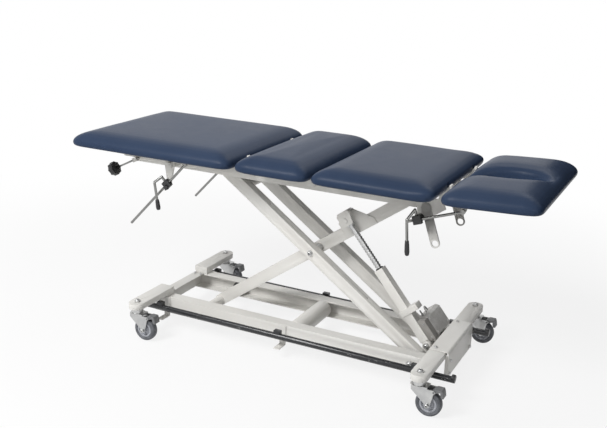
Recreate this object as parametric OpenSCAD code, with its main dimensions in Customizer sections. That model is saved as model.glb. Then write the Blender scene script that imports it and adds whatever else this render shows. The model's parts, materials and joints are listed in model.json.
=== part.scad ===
// Powered hi-lo treatment table: four-section padded top on a scissor lift.
// Origin on the floor under the middle, +X to the head end, +Z up, near side -Y.

/* [Top] */
// half the length of the padded top
top_half = 981; // [900:1:1050]
// half the width of the padded top
pad_half_y = 343; // [300:1:380]
// height of the pad tops above the floor
top_z = 847; // [800:1:900]
// thickness of a pad
pad_h = 62; // [45:1:80]
// thickness of the board in a pad
board_h = 12; // [9:1:18]
// gap between two pads
pad_gap = 12; // [8:1:20]
// how far the top of a pad rolls off towards its ends
end_roll = 100; // [60:1:120]
// how far the top of a pad rolls off towards its sides
side_roll = 70; // [40:1:100]
// squareness of a pad's corners in plan
corner_power = 4.6; // [3:0.1:8]
// how far the sides of a pad draw in at the bottom
pad_draw = 12; // [4:1:20]
// middle of the gap between leg and pelvic pads
leg_hinge_x = -202; // [-260:1:-150]
// middle of the gap between pelvic and chest pads
mid_gap_x = 125; // [80:1:200]
// length of the head section, from its hinge to the end of the table
head_len = 361; // [330:1:400]
// resting tilt of the head section in degrees
head_tilt = 2.5; // [0:0.5:10]
// half length of the face opening
face_a = 134; // [100:1:150]
// half width of the face opening
face_b = 74; // [55:1:90]
// middle of the face opening, from the end of the table
face_back = 192; // [170:1:230]

/* [Scissor] */
// head-end base pivot, along the table
base_pin_x = 522.7; // [480:0.1:560]
// height of the base pivot and the lower rollers
base_pin_z = 94; // [80:1:110]
// length of an arm below the middle pivot
arm_low = 585.5; // [500:0.5:640]
// length of an arm above the middle pivot
arm_up = 516.6; // [450:0.1:600]
// resting angle of the arms in degrees
lift_angle = 35.5; // [15:0.5:41]
// depth of an arm tube
arm_h = 50; // [40:1:60]
// width of an arm tube
arm_w = 40; // [30:1:50]
// wall of the arm tubes
arm_wall = 4; // [2:0.5:6]
// inside face of an outer arm from the middle plane
outer_in = 70; // [60:1:90]
// radius of the middle pivot and the lower axle
pivot_r = 12; // [8:1:15]
// radius of a lower roller
low_roller_r = 30; // [20:1:40]
// radius of an upper roller
up_roller_r = 17.5; // [14:0.5:25]

/* [Base] */
// foot end of the base rails
rail_x0 = -660; // [-700:1:-600]
// head end of the base rails
rail_x1 = 600; // [560:1:640]
// inner edge of a base rail from the middle plane
rail_in = 132; // [120:1:150]
// width of a base rail
rail_w = 52; // [44:1:64]
// underside of the base rails
rail_z = 58; // [50:1:70]
// height of a base rail
rail_h = 72; // [60:1:80]
// wall of the pressed rails
rail_wall = 5; // [3:0.5:8]
// diameter of the base cross tube
cross_d = 76; // [60:1:90]
// foot end beam, along the table
beam_x_foot = -632; // [-680:1:-600]
// head end beam, along the table
beam_x_head = 621; // [600:1:660]
// width of an end beam
beam_w = 65; // [50:1:80]
// underside of an end beam
beam_z = 138; // [134:1:150]
// height of an end beam
beam_h = 25; // [18:1:35]
// half length of an end beam
beam_half = 393; // [360:1:420]
// caster bolts from the end of an outrigger
bolt_edge = 38; // [30:1:60]

/* [Foot bars] */
// diameter of a foot bar
bar_d = 25; // [20:1:32]
// foot bars from the middle plane
bar_y = 235; // [228:1:238]
// height of the foot bars
bar_z = 101; // [92:1:104]
// foot end of the foot bars
bar_x0 = -710; // [-760:1:-650]
// head end of the foot bars
bar_x1 = 720; // [650:1:760]

/* [Casters] */
// diameter of a wheel
wheel_d = 100; // [75:1:125]
// width of a wheel
wheel_w = 32; // [24:1:40]
// trail of the wheel behind its swivel
trail = 42; // [30:1:50]
// diameter of the hub
hub_d = 66; // [50:1:80]
// thickness of a fork leg
fork_t = 3.5; // [2:0.5:5]

/* [Top frame] */
// inner edge of a top rail from the middle plane
top_in = 114; // [112:1:125]
// width of a top rail
top_w = 36; // [30:1:45]
// underside of the top rails
top_rail_z = 711; // [690:1:720]
// height of a top rail
top_rail_h = 46; // [40:1:60]
// foot end of the top rails
top_x0 = -772; // [-800:1:-740]
// head end of the top rails
top_x1 = 540; // [500:1:560]

/* [Actuator] */
// lower pin of the actuator, along the table
act_x = 548; // [520:1:600]
// height of the lower pin
act_z = 130; // [100:1:150]
// length of the control box along the actuator
box_len = 92; // [80:1:110]
// width of the control box across the table
box_w = 148; // [120:1:170]
// side position of the actuator's centre line
act_y = -43; // [-50:1:-40]
// resting angle of the actuator in degrees
act_angle = 129.7; // [110:0.1:160]
// length between the actuator's pins at rest
act_len = 586; // [550:1:620]
// width of the actuator's square tube
act_w = 38; // [30:1:45]
// length of the tube from the lower pin
act_tube = 352; // [300:1:400]
// diameter of the rod
act_rod_d = 24; // [18:1:28]

/* [Head section] */
// rods of the head section from the middle plane
head_rod_y = 200; // [195:1:210]
// diameter of an adjusting rod
rod_d = 11; // [8:1:14]
// clamp shaft of the head rods, back from the hinge
head_clamp_back = 104; // [80:1:140]
// clamp shaft below the undersides of the pads
head_clamp_drop = 104; // [85:1:125]
// rod pivot on the head frame, out from the hinge
head_eye_out = 62; // [40:1:100]
// rod pivot below the undersides of the pads
head_eye_drop = 47; // [35:1:60]
// width of a hanging strap
strap_w = 35; // [28:1:45]
// diameter of the hole in a strap
strap_hole = 25; // [16:1:28]
// hole of a strap, back from the head hinge
strap_back = 43; // [20:1:70]
// hole of a strap below the undersides of the pads
strap_drop = 197; // [150:1:230]
// top of a strap, back from its hole
strap_lean = 45; // [0:1:70]
// length of a strap between its hole and its top
strap_rise = 132; // [100:1:160]
// thickness of a hand lever
lever_d = 11; // [8:1:14]
// thickness of a hand grip
grip_d = 19; // [14:1:24]

/* [Leg section] */
// rods of the leg section from the middle plane
leg_rod_y = 247; // [240:1:260]
// clamp of the leg rods, along the table
leg_clamp_x = -549; // [-600:1:-500]
// height of the leg clamps
leg_clamp_z = 664; // [640:1:680]
// rod pivot on the leg frame, along the table
leg_eye_x = -462; // [-500:1:-420]
// that rod pivot below the undersides of the pads
leg_eye_drop = 28; // [20:1:35]
// foot end of a leg rod, along the table
leg_rod_x = -735; // [-780:1:-700]

/* [Hidden] */

off_white = [0.82, 0.82, 0.8];
black = [0.13, 0.13, 0.14];
navy = [0.14, 0.19, 0.28];
steel = [0.72, 0.72, 0.72];
grey = [0.5, 0.5, 0.5];
taupe = [0.55, 0.52, 0.49];

fit_gap = 0.05;      // radial running clearance of a pin in its bore
side_gap = 0.5;      // sideways clearance of a moving piece
weld_gap = 0.01;     // least overlap that makes joined shapes one solid
pad_z = top_z - pad_h;
head_hinge_x = top_half - head_len;
face_x = top_half - face_back;
bolt_y = beam_half - bolt_edge;
head_clamp_x = head_hinge_x - head_clamp_back;
head_clamp_z = pad_z - head_clamp_drop;
head_eye_x = head_hinge_x + head_eye_out;
head_eye_z = pad_z - head_eye_drop;
leg_eye_z = pad_z - leg_eye_drop;
hinge_z = top_z - pad_h / 2;
pin_r = 10;
small_pin_r = 3;
plate_t = 6;
screw_r = 5;
screw_h = 3;
top_pin_z = base_pin_z + (arm_low + arm_up) * sin(lift_angle);
mid_x = base_pin_x - arm_low * cos(lift_angle);
mid_z = base_pin_z + arm_low * sin(lift_angle);
low_roller_x = mid_x - arm_low * cos(lift_angle);
up_roller_x = mid_x - arm_up * cos(lift_angle);
top_pin_x = mid_x + arm_up * cos(lift_angle);
outer_out = outer_in + arm_w;
rail_out = rail_in + rail_w;
top_out = top_in + top_w;

// Shared shapes

// box given by its low and high corners
module span(x0, x1, y0, y1, z0, z1) {
    translate([x0, y0, z0]) cube([x1 - x0, y1 - y0, z1 - z0]);
}

module both_sides() {
    children();
    mirror([0, 1, 0]) children();
}

// round bar along Y
module cross_pin(x, z, y0, y1, r) {
    translate([x, y1, z]) rotate([90, 0, 0]) cylinder(r = r, h = y1 - y0, $fn = 28);
}

module upright(x, y, z0, z1, r) {
    translate([x, y, z0]) cylinder(r = r, h = z1 - z0, $fn = 28);
}

// plate with its outline in X and Z
module side_plate(outline, y0, y1) {
    translate([0, y1, 0]) rotate([90, 0, 0]) linear_extrude(height = y1 - y0) polygon(outline);
}

// strap with round ends between two points in X and Z
module strap(a, b, r, y0, y1) {
    length = norm(b - a);
    cross_pin(a[0], a[1], y0, y1, r + side_gap);
    cross_pin(b[0], b[1], y0, y1, r + side_gap);
    translate([a[0], 0, a[1]]) rotate([0, -atan2(b[1] - a[1], b[0] - a[0]), 0])
        span(0, length, y0, y1, -r, r);
}

// places children at a point in X and Z, with their X turned up by an angle
module placed(x, z, angle) {
    translate([x, 0, z]) rotate([0, -angle, 0]) children();
}

// round bar through 3D points, with ball corners
module bent_bar(path, r) {
    for (i = [1 : len(path) - 1]) {
        run = path[i] - path[i - 1];
        translate(path[i - 1]) rotate([0, acos(run[2] / norm(run)), atan2(run[1], run[0])])
            cylinder(r = r, h = norm(run), $fn = 20);
        if (i < len(path) - 1) translate(path[i]) sphere(r = r + weld_gap * 8, $fn = 20);
    }
}

// channel along X, open towards the middle plane
module channel(x0, x1, y0, w, z, h, wall) {
    difference() {
        span(x0, x1, y0, y0 + w, z, z + h);
        span(x0 - wall, x1 + wall, y0 - wall, y0 + w - wall, z + wall, z + h - wall);
    }
}

// Pads

pad_steps = 8;
under_angles = [-90, -62, -30];
roll_shares = [1, 0.97, 0.88, 0.74, 0.56, 0.36, 0.14];
pad_half_h = pad_h / 2;

// rounded rectangle, e is the share of the roll-off that is still to come
function roll_ring(half_x, half_y, e, z) = [
    for (k = [0 : 3], s = [0 : pad_steps])
        let (a = 90 * s / pad_steps)
        let (c = pow(abs(cos(a)), 2 / corner_power), d = pow(abs(sin(a)), 2 / corner_power))
        let (u = k % 2 == 0 ? c : d, v = k % 2 == 0 ? d : c)
        let (sx = (k == 0 || k == 3) ? 1 : -1, sy = k < 2 ? 1 : -1)
        [sx * (half_x - end_roll + end_roll * e * u), sy * (half_y - side_roll + side_roll * e * v), z]
];

// underside and bulge of a pad, drawn in towards the board; head_in is what the head end draws in
function under_rings(half_x, half_y, head_in) = [
    for (a = under_angles)
        let (foot = pad_draw * (1 - cos(a)), head = head_in * (1 - cos(a)))
        let (ring = roll_ring(half_x - (foot + head) / 2, half_y - foot, 1, pad_half_h * sin(a)))
        [for (p = ring) p + [(foot - head) / 2, 0, 0]]
];

// height of a pad's top over its middle level, at a place seen from above
function roll_share(along, half, roll) = max(0, 1 - (half - abs(along)) / roll);
function top_height(u, v, half_x, half_y) =
    let (e = pow(pow(roll_share(u, half_x, end_roll), corner_power)
        + pow(roll_share(v, half_y, side_roll), corner_power), 1 / corner_power))
    pad_half_h * sqrt(max(0, 1 - e * e));

module loft(rings, round_trip) {
    n = len(rings[0]);
    m = len(rings);
    walls = [for (i = [0 : m - (round_trip ? 1 : 2)], j = [0 : n - 1])
        let (up = (i + 1) % m, next = (j + 1) % n)
        for (f = [[i * n + j, up * n + j, up * n + next], [i * n + j, up * n + next, i * n + next]]) f];
    ends = round_trip ? [] : [[for (j = [0 : n - 1]) j], [for (j = [n - 1 : -1 : 0]) (m - 1) * n + j]];
    polyhedron(points = [for (ring = rings) each ring], faces = concat(walls, ends), convexity = 6);
}

module cushion(x0, x1, head_in) {
    half_x = (x1 - x0) / 2;
    top = [for (e = roll_shares) roll_ring(half_x, pad_half_y, e, pad_half_h * sqrt(1 - e * e))];
    translate([(x0 + x1) / 2, 0, hinge_z]) loft(concat(under_rings(half_x, pad_half_y, head_in), top), false);
}

// ring round the face opening, seen from the middle of the pad
function oval_ring(grow, shift) = [
    for (k = [0 : 3], s = [0 : pad_steps])
        let (t = 90 * (k + s / pad_steps))
        [(face_a + grow) * cos(t) + shift, (face_b + grow) * sin(t), 0]
];

rim_angles = [60, 30, 0];
rim_r = 10;
reach_shares = [0.06, 0.16, 0.3, 0.5, 0.75, 1];

// cushion with the face opening through it
module face_cushion(x0, x1) {
    half_x = (x1 - x0) / 2;
    mid = (x0 + x1) / 2;
    shift = face_x - mid;
    outer = roll_ring(half_x, pad_half_y, 1, 0);
    inner = oval_ring(rim_r, shift);
    top = [for (t = reach_shares) [for (i = [0 : len(outer) - 1])
        let (p = outer[i] * (1 - t) + inner[i] * t)
        [p[0], p[1], top_height(p[0], p[1], half_x, pad_half_y)]]];
    lip = top[len(top) - 1];
    rim = [for (a = rim_angles) let (ring = oval_ring(rim_r * (1 - cos(a)), shift))
        [for (i = [0 : len(ring) - 1]) [ring[i][0], ring[i][1], lip[i][2] - rim_r * (1 - sin(a))]]];
    low = [[for (p = oval_ring(0, shift)) p + [0, 0, -pad_half_h]]];
    translate([mid, 0, hinge_z])
        loft(concat(under_rings(half_x, pad_half_y, pad_draw), [outer], top, rim, low), true);
}

notch_y0 = 145;
notch_y1 = 174;
notch_len = 47;

// room for the hinge fingers in the ends of two pads
module hinge_notch(x0, x1) {
    both_sides() span(x0, x1, notch_y0, notch_y1, pad_z - board_h, hinge_z + hinge_finger);
}

module pelvic_pad() {
    color(navy) cushion(leg_hinge_x + pad_gap / 2, mid_gap_x - pad_gap / 4, pad_draw);
}

module chest_pad() {
    color(navy) difference() {
        cushion(mid_gap_x + pad_gap / 4, head_hinge_x - pad_gap / 2, pad_half_h);
        hinge_notch(head_hinge_x - notch_len, head_hinge_x);
    }
}

// Base

stem_r = 8;
fork_top = beam_z - 26;
rail_top = rail_z + rail_h;
spacer_r = 16;
act_eye_r = 17;
act_pin_r = 8;
act_cheek = 5;
hanger_x = [-600, -28, 562];
block_half = 14;
bar_travel = 8;

module base_rails() {
    color(off_white) both_sides() difference() {
        channel(rail_x0, rail_x1, rail_in, rail_w, rail_z, rail_h, rail_wall);
        cross_pin(base_pin_x, base_pin_z, rail_in, rail_out + rail_wall, pin_r + fit_gap);
    }
}

module base_cross_tube() {
    color(off_white) difference() {
        cross_pin(mid_gap_x / 25, rail_z + rail_h / 2, -rail_in, rail_in, cross_d / 2);
        cross_pin(mid_gap_x / 25, rail_z + rail_h / 2, -rail_out, rail_out, cross_d / 2 - rail_wall);
    }
}

// two outriggers that stand on the rails at one end
module end_beam(x) {
    inner = rail_in + 4 * side_gap;
    both_sides() difference() {
        union() {
            span(x - beam_w / 2, x + beam_w / 2, inner, beam_half - beam_w / 2, beam_z, beam_z + beam_h);
            upright(x, beam_half - beam_w / 2, beam_z, beam_z + beam_h, beam_w / 2 + fit_gap);
            span(max(x - beam_w / 2, rail_x0), min(x + beam_w / 2, rail_x1),
                inner, rail_out, rail_top, beam_z + weld_gap);
        }
        upright(x, bolt_y, beam_z - beam_h, beam_z + 2 * beam_h, stem_r + fit_gap);
    }
}

module end_beams() {
    color(off_white) {
        end_beam(beam_x_foot);
        end_beam(beam_x_head);
    }
}

end_plate_t = 4;
end_plate_flange = 46;
end_plate_edge = 20;

// bent sheet across the foot end, with a flange over the rails' ends
module foot_end_plate() {
    x = rail_x0 - end_plate_t;
    color(off_white) {
        span(x, rail_x0, -rail_out, rail_out, rail_z, rail_top + end_plate_t);
        span(rail_x0 - weld_gap, rail_x0 + end_plate_flange, -rail_in, rail_in,
            rail_top, rail_top + end_plate_t);
    }
}

cover_t = 3;
cover_x = 668;
cover_half = 160;
cover_drop = 60;
cover_bend = 12;
cover_top = beam_z + beam_h + side_gap + cover_t;
cover_x0 = beam_x_head - beam_w / 2;

// bent sheet over the head end, on a channel between the rails
module head_end_cover() {
    bend_x = cover_x - cover_bend;
    bend_z = cover_top - cover_bend;
    x0 = beam_x_head + beam_w / 2 + side_gap;
    color(off_white) {
        span(cover_x0, bend_x, -cover_half, cover_half, cover_top - cover_t, cover_top);
        span(cover_x - cover_t, cover_x, -cover_half, cover_half, cover_drop, bend_z);
        difference() {
            cross_pin(bend_x, bend_z, -cover_half, cover_half, cover_bend);
            cross_pin(bend_x, bend_z, -rail_out, rail_out, cover_bend - cover_t);
            span(bend_x - 2 * cover_bend, bend_x, -rail_out, rail_out, bend_z - 2 * cover_bend, top_z);
            span(bend_x - 2 * cover_bend, top_half, -rail_out, rail_out, bend_z - 2 * cover_bend, bend_z);
        }
        both_sides() span(x0, cover_x - cover_t + weld_gap, cover_half - cover_t, cover_half,
            cover_drop, bend_z);
        difference() {
            span(rail_x1 - beam_w / 2, rail_x1, -rail_in, rail_in, rail_z + plate_t, rail_top);
            span(rail_x1 - beam_w / 2 - cover_t, rail_x1 - cover_t, -rail_out, rail_out,
                rail_z + plate_t + cover_t, rail_top - cover_t);
        }
        both_sides() span(cover_x0, rail_x1, cover_half / 2, cover_half / 2 + cover_bend,
            rail_top - weld_gap, cover_top - cover_t + weld_gap);
    }
}

module actuator_foot_bracket() {
    y0 = act_y - act_w / 2 - side_gap;
    y1 = act_y + act_w / 2 + side_gap;
    foot_z = rail_z + plate_t;
    color(off_white) difference() {
        union() {
            span(act_x - act_eye_r, act_x + 2 * act_eye_r, -rail_in, rail_in, rail_z, foot_z);
            for (y = [y0 - act_cheek, y1]) {
                span(act_x - act_eye_r, act_x + act_eye_r, y, y + act_cheek, foot_z - weld_gap, act_z);
                cross_pin(act_x, act_z, y, y + act_cheek, act_eye_r);
            }
        }
        cross_pin(act_x, act_z, y0 - 2 * act_cheek, y1 + 2 * act_cheek, act_pin_r + fit_gap);
    }
}

module foot_bar_brackets() {
    hanger_t = 4;
    lip_y = bar_y + bar_d / 4;
    color(off_white) both_sides() for (x = hanger_x) {
        span(x - block_half, x + block_half, rail_out, rail_out + hanger_t, rail_z - block_half, rail_top);
        span(x - block_half, x + block_half, rail_out, lip_y, rail_z - block_half,
            rail_z - block_half + hanger_t);
    }
}

module foot_bar() {
    color(black) {
        translate([bar_x0, bar_y, bar_z]) rotate([0, 90, 0])
            cylinder(r = bar_d / 2, h = bar_x1 - bar_x0, $fn = 24);
        for (x = hanger_x)
            span(x - block_half, x + block_half, bar_y - bar_d / 2 - side_gap, bar_y + bar_d / 3,
                bar_z, bar_z + bar_d);
    }
}

module foot_bar_near() {
    mirror([0, 1, 0]) foot_bar();
}

module foot_bar_far() {
    foot_bar();
}

// stems of the four casters, end plate screws and cover screws
module base_bolts() {
    nut_r = 12;
    color(steel) {
        for (x = [beam_x_foot, beam_x_head]) both_sides() {
            upright(x, bolt_y, fork_top - nut_r / 2, beam_z + beam_h + screw_h, stem_r);
            upright(x, bolt_y, fork_top - nut_r, fork_top - side_gap, nut_r);
            upright(x, bolt_y, beam_z + beam_h, beam_z + beam_h + 2 * screw_h, nut_r);
        }
        for (x = [rail_x0 + end_plate_edge / 2, rail_x0 + 2 * end_plate_edge], y = [-1, 1])
            upright(x, y * (rail_in - end_plate_edge), rail_top + end_plate_t,
                rail_top + end_plate_t + screw_h, screw_r);
        upright(cover_x0 + end_plate_edge, end_plate_edge - cover_half, cover_top,
            cover_top + screw_h, screw_r);
        upright(cover_x0 + end_plate_edge, cover_half - end_plate_edge, cover_top,
            cover_top + screw_h, screw_r);
        for (z = [cover_drop + beam_h / 2, beam_z - beam_h / 2])
            both_sides() translate([cover_x, cover_half - beam_h, z])
                rotate([0, 90, 0]) cylinder(r = screw_r, h = screw_h, $fn = 20);
    }
}

// fixed pins of the outer arms and of the actuator
module pivot_pins() {
    head = 4;
    color(steel) {
        both_sides() {
            cross_pin(base_pin_x, base_pin_z, outer_in - head / 2, rail_out + head, pin_r);
            cross_pin(base_pin_x, base_pin_z, outer_out + side_gap, rail_out - rail_wall, spacer_r);
            cross_pin(base_pin_x, base_pin_z, rail_out, rail_out + 1.5 * head, pin_r + head);
            cross_pin(base_pin_x, base_pin_z, outer_in - head / 2, outer_in - side_gap, pin_r + head);
        }
        cross_pin(act_x, act_z, act_y - act_w / 2 - 2 * act_cheek, act_y + act_w / 2 + 2 * act_cheek,
            act_pin_r);
        cross_pin(act_x, act_z, act_y - act_w / 2 - 2 * act_cheek - head,
            act_y - act_w / 2 - act_cheek - 2 * side_gap, act_pin_r + head);
    }
}

// Casters

axle_r = 5;
race_r = 23;
crown_r = 30;
crown_t = 6;
pedal_x = 62;
pedal_z = 105;
pedal_pin_r = 4;
pedal_end = 102;
wheel_r = wheel_d / 2;
leg_y = wheel_w / 2 + 2.5;

module caster_fork(x, y) {
    leg = [[-crown_r * 0.8, fork_top], [pedal_x, fork_top], [pedal_x + 8, pedal_z], [pedal_x, pedal_z - 8],
        [trail + 11, wheel_r + 6], [trail + 8, wheel_r - 9], [trail - 8, wheel_r - 9],
        [trail - 12, wheel_r + 2], [-crown_r * 0.8, fork_top - 12]];
    color(steel) translate([x, y, 0]) difference() {
        union() {
            upright(0, 0, fork_top, fork_top + crown_t, crown_r);
            upright(0, 0, fork_top + crown_t - weld_gap, beam_z - side_gap, race_r);
            span(0, trail - axle_r, -leg_y - fork_t, leg_y + fork_t, fork_top, fork_top + crown_t);
            both_sides() side_plate(leg, leg_y, leg_y + fork_t);
            both_sides() span(-crown_r * 0.8, trail - axle_r, leg_y, leg_y + fork_t,
                fork_top - weld_gap, fork_top + crown_t);
            cross_pin(trail, wheel_r, -leg_y - 2 * fork_t, leg_y + 2 * fork_t, axle_r);
            both_sides() cross_pin(trail, wheel_r, leg_y + fork_t - weld_gap, leg_y + 2 * fork_t, axle_r * 1.8);
        }
        upright(0, 0, 0, beam_z + beam_h, stem_r + fit_gap);
        cross_pin(pedal_x, pedal_z, -2 * leg_y, 2 * leg_y, pedal_pin_r + fit_gap);
    }
}

module caster_tyre(x, y) {
    edge_r = 7;
    color(grey) translate([x + trail, y, wheel_r]) rotate([90, 0, 0]) rotate_extrude($fn = 48)
        polygon([[hub_d / 2, -wheel_w / 2], [wheel_r - edge_r, -wheel_w / 2], [wheel_r - edge_r / 3, -wheel_w / 3],
            [wheel_r, 0], [wheel_r - edge_r / 3, wheel_w / 3], [wheel_r - edge_r, wheel_w / 2],
            [hub_d / 2, wheel_w / 2]]);
}

module caster_hub(x, y) {
    boss_r = 11;
    web = 8;
    dish_r = hub_d / 2 - 5;
    color(steel) translate([x + trail, y, wheel_r]) rotate([90, 0, 0]) rotate_extrude($fn = 36)
        polygon([[axle_r + fit_gap, -wheel_w / 2 - 1], [boss_r, -wheel_w / 2 - 1], [boss_r, -web / 2],
            [dish_r, -web / 2], [dish_r, -wheel_w / 2], [hub_d / 2 - fit_gap, -wheel_w / 2],
            [hub_d / 2 - fit_gap, wheel_w / 2], [dish_r, wheel_w / 2], [dish_r, web / 2],
            [boss_r, web / 2], [boss_r, wheel_w / 2 + 1], [axle_r + fit_gap, wheel_w / 2 + 1]]);
}

// brake lever with a turned-down end, between the fork's legs
module brake_pedal(x, y) {
    pedal_y = leg_y - side_gap;
    t = 6;
    arm = [[pedal_x - t, pedal_z + t], [pedal_x + t, pedal_z + 2 * t], [pedal_x + 5 * t, pedal_z + 2 * t],
        [pedal_end - t, pedal_z], [pedal_end - t / 2, pedal_z - 3 * t], [pedal_end - 2 * t, pedal_z - 3 * t],
        [pedal_end - 2.6 * t, pedal_z - t], [pedal_x + 4 * t, pedal_z + t / 2], [pedal_x + t, pedal_z - t / 2],
        [pedal_x - t, pedal_z - t / 2]];
    color(grey) translate([x, y, 0]) {
        side_plate(arm, -pedal_y, pedal_y);
        cross_pin(pedal_x, pedal_z, -leg_y - fork_t, leg_y + fork_t, pedal_pin_r);
    }
}

module caster_fork_nf() { caster_fork(beam_x_foot, -bolt_y); }
module caster_tyre_nf() { caster_tyre(beam_x_foot, -bolt_y); }
module caster_hub_nf() { caster_hub(beam_x_foot, -bolt_y); }
module brake_pedal_nf() { brake_pedal(beam_x_foot, -bolt_y); }
module caster_fork_ff() { caster_fork(beam_x_foot, bolt_y); }
module caster_tyre_ff() { caster_tyre(beam_x_foot, bolt_y); }
module caster_hub_ff() { caster_hub(beam_x_foot, bolt_y); }
module brake_pedal_ff() { brake_pedal(beam_x_foot, bolt_y); }
module caster_fork_nh() { caster_fork(beam_x_head, -bolt_y); }
module caster_tyre_nh() { caster_tyre(beam_x_head, -bolt_y); }
module caster_hub_nh() { caster_hub(beam_x_head, -bolt_y); }
module brake_pedal_nh() { brake_pedal(beam_x_head, -bolt_y); }
module caster_fork_fh() { caster_fork(beam_x_head, bolt_y); }
module caster_tyre_fh() { caster_tyre(beam_x_head, bolt_y); }
module caster_hub_fh() { caster_hub(beam_x_head, bolt_y); }
module brake_pedal_fh() { brake_pedal(beam_x_head, bolt_y); }

// Scissor

low_roller_in = 140;
low_roller_w = 26;
up_roller_in = outer_out + 7;
up_roller_w = 22;
roller_axle_r = 8;

// runs along an arm with X from the middle pivot up the arm
module on_outer() {
    placed(mid_x, mid_z, 180 - lift_angle) children();
}

module on_inner() {
    placed(mid_x, mid_z, lift_angle) children();
}

module arm_tube(x0, x1, y0, y1, bores) {
    difference() {
        union() {
            span(x0, x1, y0, y1, -arm_h / 2, arm_h / 2);
            cross_pin(x0, 0, y0, y1, arm_h / 2);
            cross_pin(x1, 0, y0, y1, arm_h / 2);
        }
        for (b = bores) cross_pin(b[0], 0, y0 - arm_w, y1 + arm_w, b[1] + fit_gap);
        for (bay = [[x0 + arm_h, -arm_h], [arm_h, x1 - arm_h]]) {
            span(bay[0], bay[1], y0 + arm_wall, y1 - arm_wall, arm_wall - arm_h / 2, arm_h / 2 - arm_wall);
            upright((bay[0] + bay[1]) / 2, (y0 + y1) / 2, -arm_h, 0, arm_wall);
        }
    }
}

module outer_arms() {
    color(off_white) {
        both_sides() on_outer()
            arm_tube(-arm_low, arm_up, outer_in, outer_out, [[-arm_low, pin_r], [0, pivot_r]]);
        both_sides() cross_pin(up_roller_x, top_pin_z, outer_out - weld_gap, up_roller_in + up_roller_w + 2,
            roller_axle_r);
    }
}

module outer_tie() {
    tie_back = 120;
    tie_r = 19;
    color(off_white) on_outer() cross_pin(arm_up - tie_back, 0, -outer_in, outer_in, tie_r);
}

module inner_arm() {
    axle_tube_r = 20;
    color(off_white) {
        on_inner() difference() {
            arm_tube(-arm_low, arm_up, -arm_w / 2, arm_w / 2, [[0, pivot_r], [arm_up, pin_r]]);
        }
        both_sides() cross_pin(low_roller_x, base_pin_z, 0, rail_in - side_gap * 8, axle_tube_r);
        cross_pin(low_roller_x, base_pin_z, -low_roller_in - low_roller_w - 2,
            low_roller_in + low_roller_w + 2, pivot_r);
    }
}

module scissor_pivot() {
    head = 7;
    color(steel) {
        cross_pin(mid_x, mid_z, -outer_out - fit_gap, outer_out + fit_gap, pivot_r);
        both_sides() cross_pin(mid_x, mid_z, outer_out + fit_gap, outer_out + head / 3, pivot_r + fit_gap);
        both_sides() cross_pin(mid_x, mid_z, outer_out, outer_out + head, pivot_r * 0.75);
        both_sides() cross_pin(mid_x, mid_z, arm_w / 2 + side_gap, outer_in - side_gap, pivot_r * 1.4);
    }
}

module lower_rollers() {
    color(black) both_sides() difference() {
        cross_pin(low_roller_x, base_pin_z, low_roller_in, low_roller_in + low_roller_w, low_roller_r);
        cross_pin(low_roller_x, base_pin_z, 0, rail_out, pivot_r + fit_gap);
    }
}

module upper_rollers() {
    color(black) both_sides() difference() {
        cross_pin(up_roller_x, top_pin_z, up_roller_in, up_roller_in + up_roller_w, up_roller_r);
        cross_pin(up_roller_x, top_pin_z, 0, rail_out, roller_axle_r + fit_gap);
    }
}

// Actuator

rod_pin_x = act_x + act_len * cos(act_angle);
rod_pin_z = act_z + act_len * sin(act_angle);
clevis_near = act_y - 20;
clevis_t = 5;
rod_eye_r = 14;

// X runs along the actuator from its lower pin, Z up towards the head end
module on_actuator() {
    placed(act_x, act_z, act_angle) translate([0, act_y, 0]) mirror([0, 0, 1]) children();
}

module rod_clevis() {
    s = (rod_pin_x - mid_x) * cos(lift_angle) + (rod_pin_z - mid_z) * sin(lift_angle);
    n = (rod_pin_z - mid_z) * cos(lift_angle) - (rod_pin_x - mid_x) * sin(lift_angle);
    e = rod_eye_r;
    top_n = n + 2.6 * e;
    far = [[s - 4 * e, -arm_h / 2], [s - 4 * e, n], [s - 1.4 * e, top_n], [s + 1.8 * e, top_n],
        [s + 7 * e, 0], [s + 7 * e, -arm_h / 2]];
    near = [[s - 1.9 * e, n - 1.6 * e], [s - 1.9 * e, top_n - 0.8 * e], [s - 1.3 * e, top_n],
        [s + 1.8 * e, top_n], [s + 2.5 * e, top_n - 0.9 * e], [s + 1.9 * e, n - 1.6 * e]];
    web = [[s - 1.9 * e, top_n - 0.8 * e], [s - 1.3 * e, top_n], [s + 1.8 * e, top_n],
        [s + 2.5 * e, top_n - 0.6 * e], [s + 2.5 * e, top_n - e], [s + 1.6 * e, top_n - 0.4 * e],
        [s - 1.2 * e, top_n - 0.4 * e]];
    color(off_white) on_inner() difference() {
        union() {
            side_plate(far, -arm_w / 2 - clevis_t * 0.8, -arm_w / 2);
            side_plate(near, clevis_near - clevis_t, clevis_near);
            side_plate(web, clevis_near - weld_gap, -arm_w / 2 - weld_gap);
            cross_pin(s, n, clevis_near - 1.8 * clevis_t, clevis_near - clevis_t + weld_gap, act_pin_r * 1.25);
        }
    }
}

module actuator_tube() {
    y = act_w / 2;
    flange_x = 140;
    flange_t = 25;
    flange_lip = 4;
    eye_half = 15;
    bore_x = 41;
    bore_play = 3;
    color(off_white) on_actuator() difference() {
        union() {
            span(act_eye_r, act_tube, -y, y, -y, y);
            cross_pin(0, 0, -eye_half, eye_half, act_eye_r);
            span(0, act_eye_r + weld_gap, -eye_half, eye_half, -act_eye_r, act_eye_r);
            span(flange_x, flange_x + flange_t, -y - flange_lip, y + flange_lip, -y - flange_lip, 3.1 * y);
        }
        cross_pin(0, 0, -act_w, act_w, act_pin_r + fit_gap);
        translate([bore_x, 0, 0]) rotate([0, 90, 0])
            cylinder(r = act_rod_d / 2 + bore_play, h = act_tube, $fn = 28);
    }
}

box_start = 8;
box_end = box_start + box_len;
box_low = -6;
box_mid = 20;
box_high = 50;
box_edge = 12;
box_y = 20;

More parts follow.
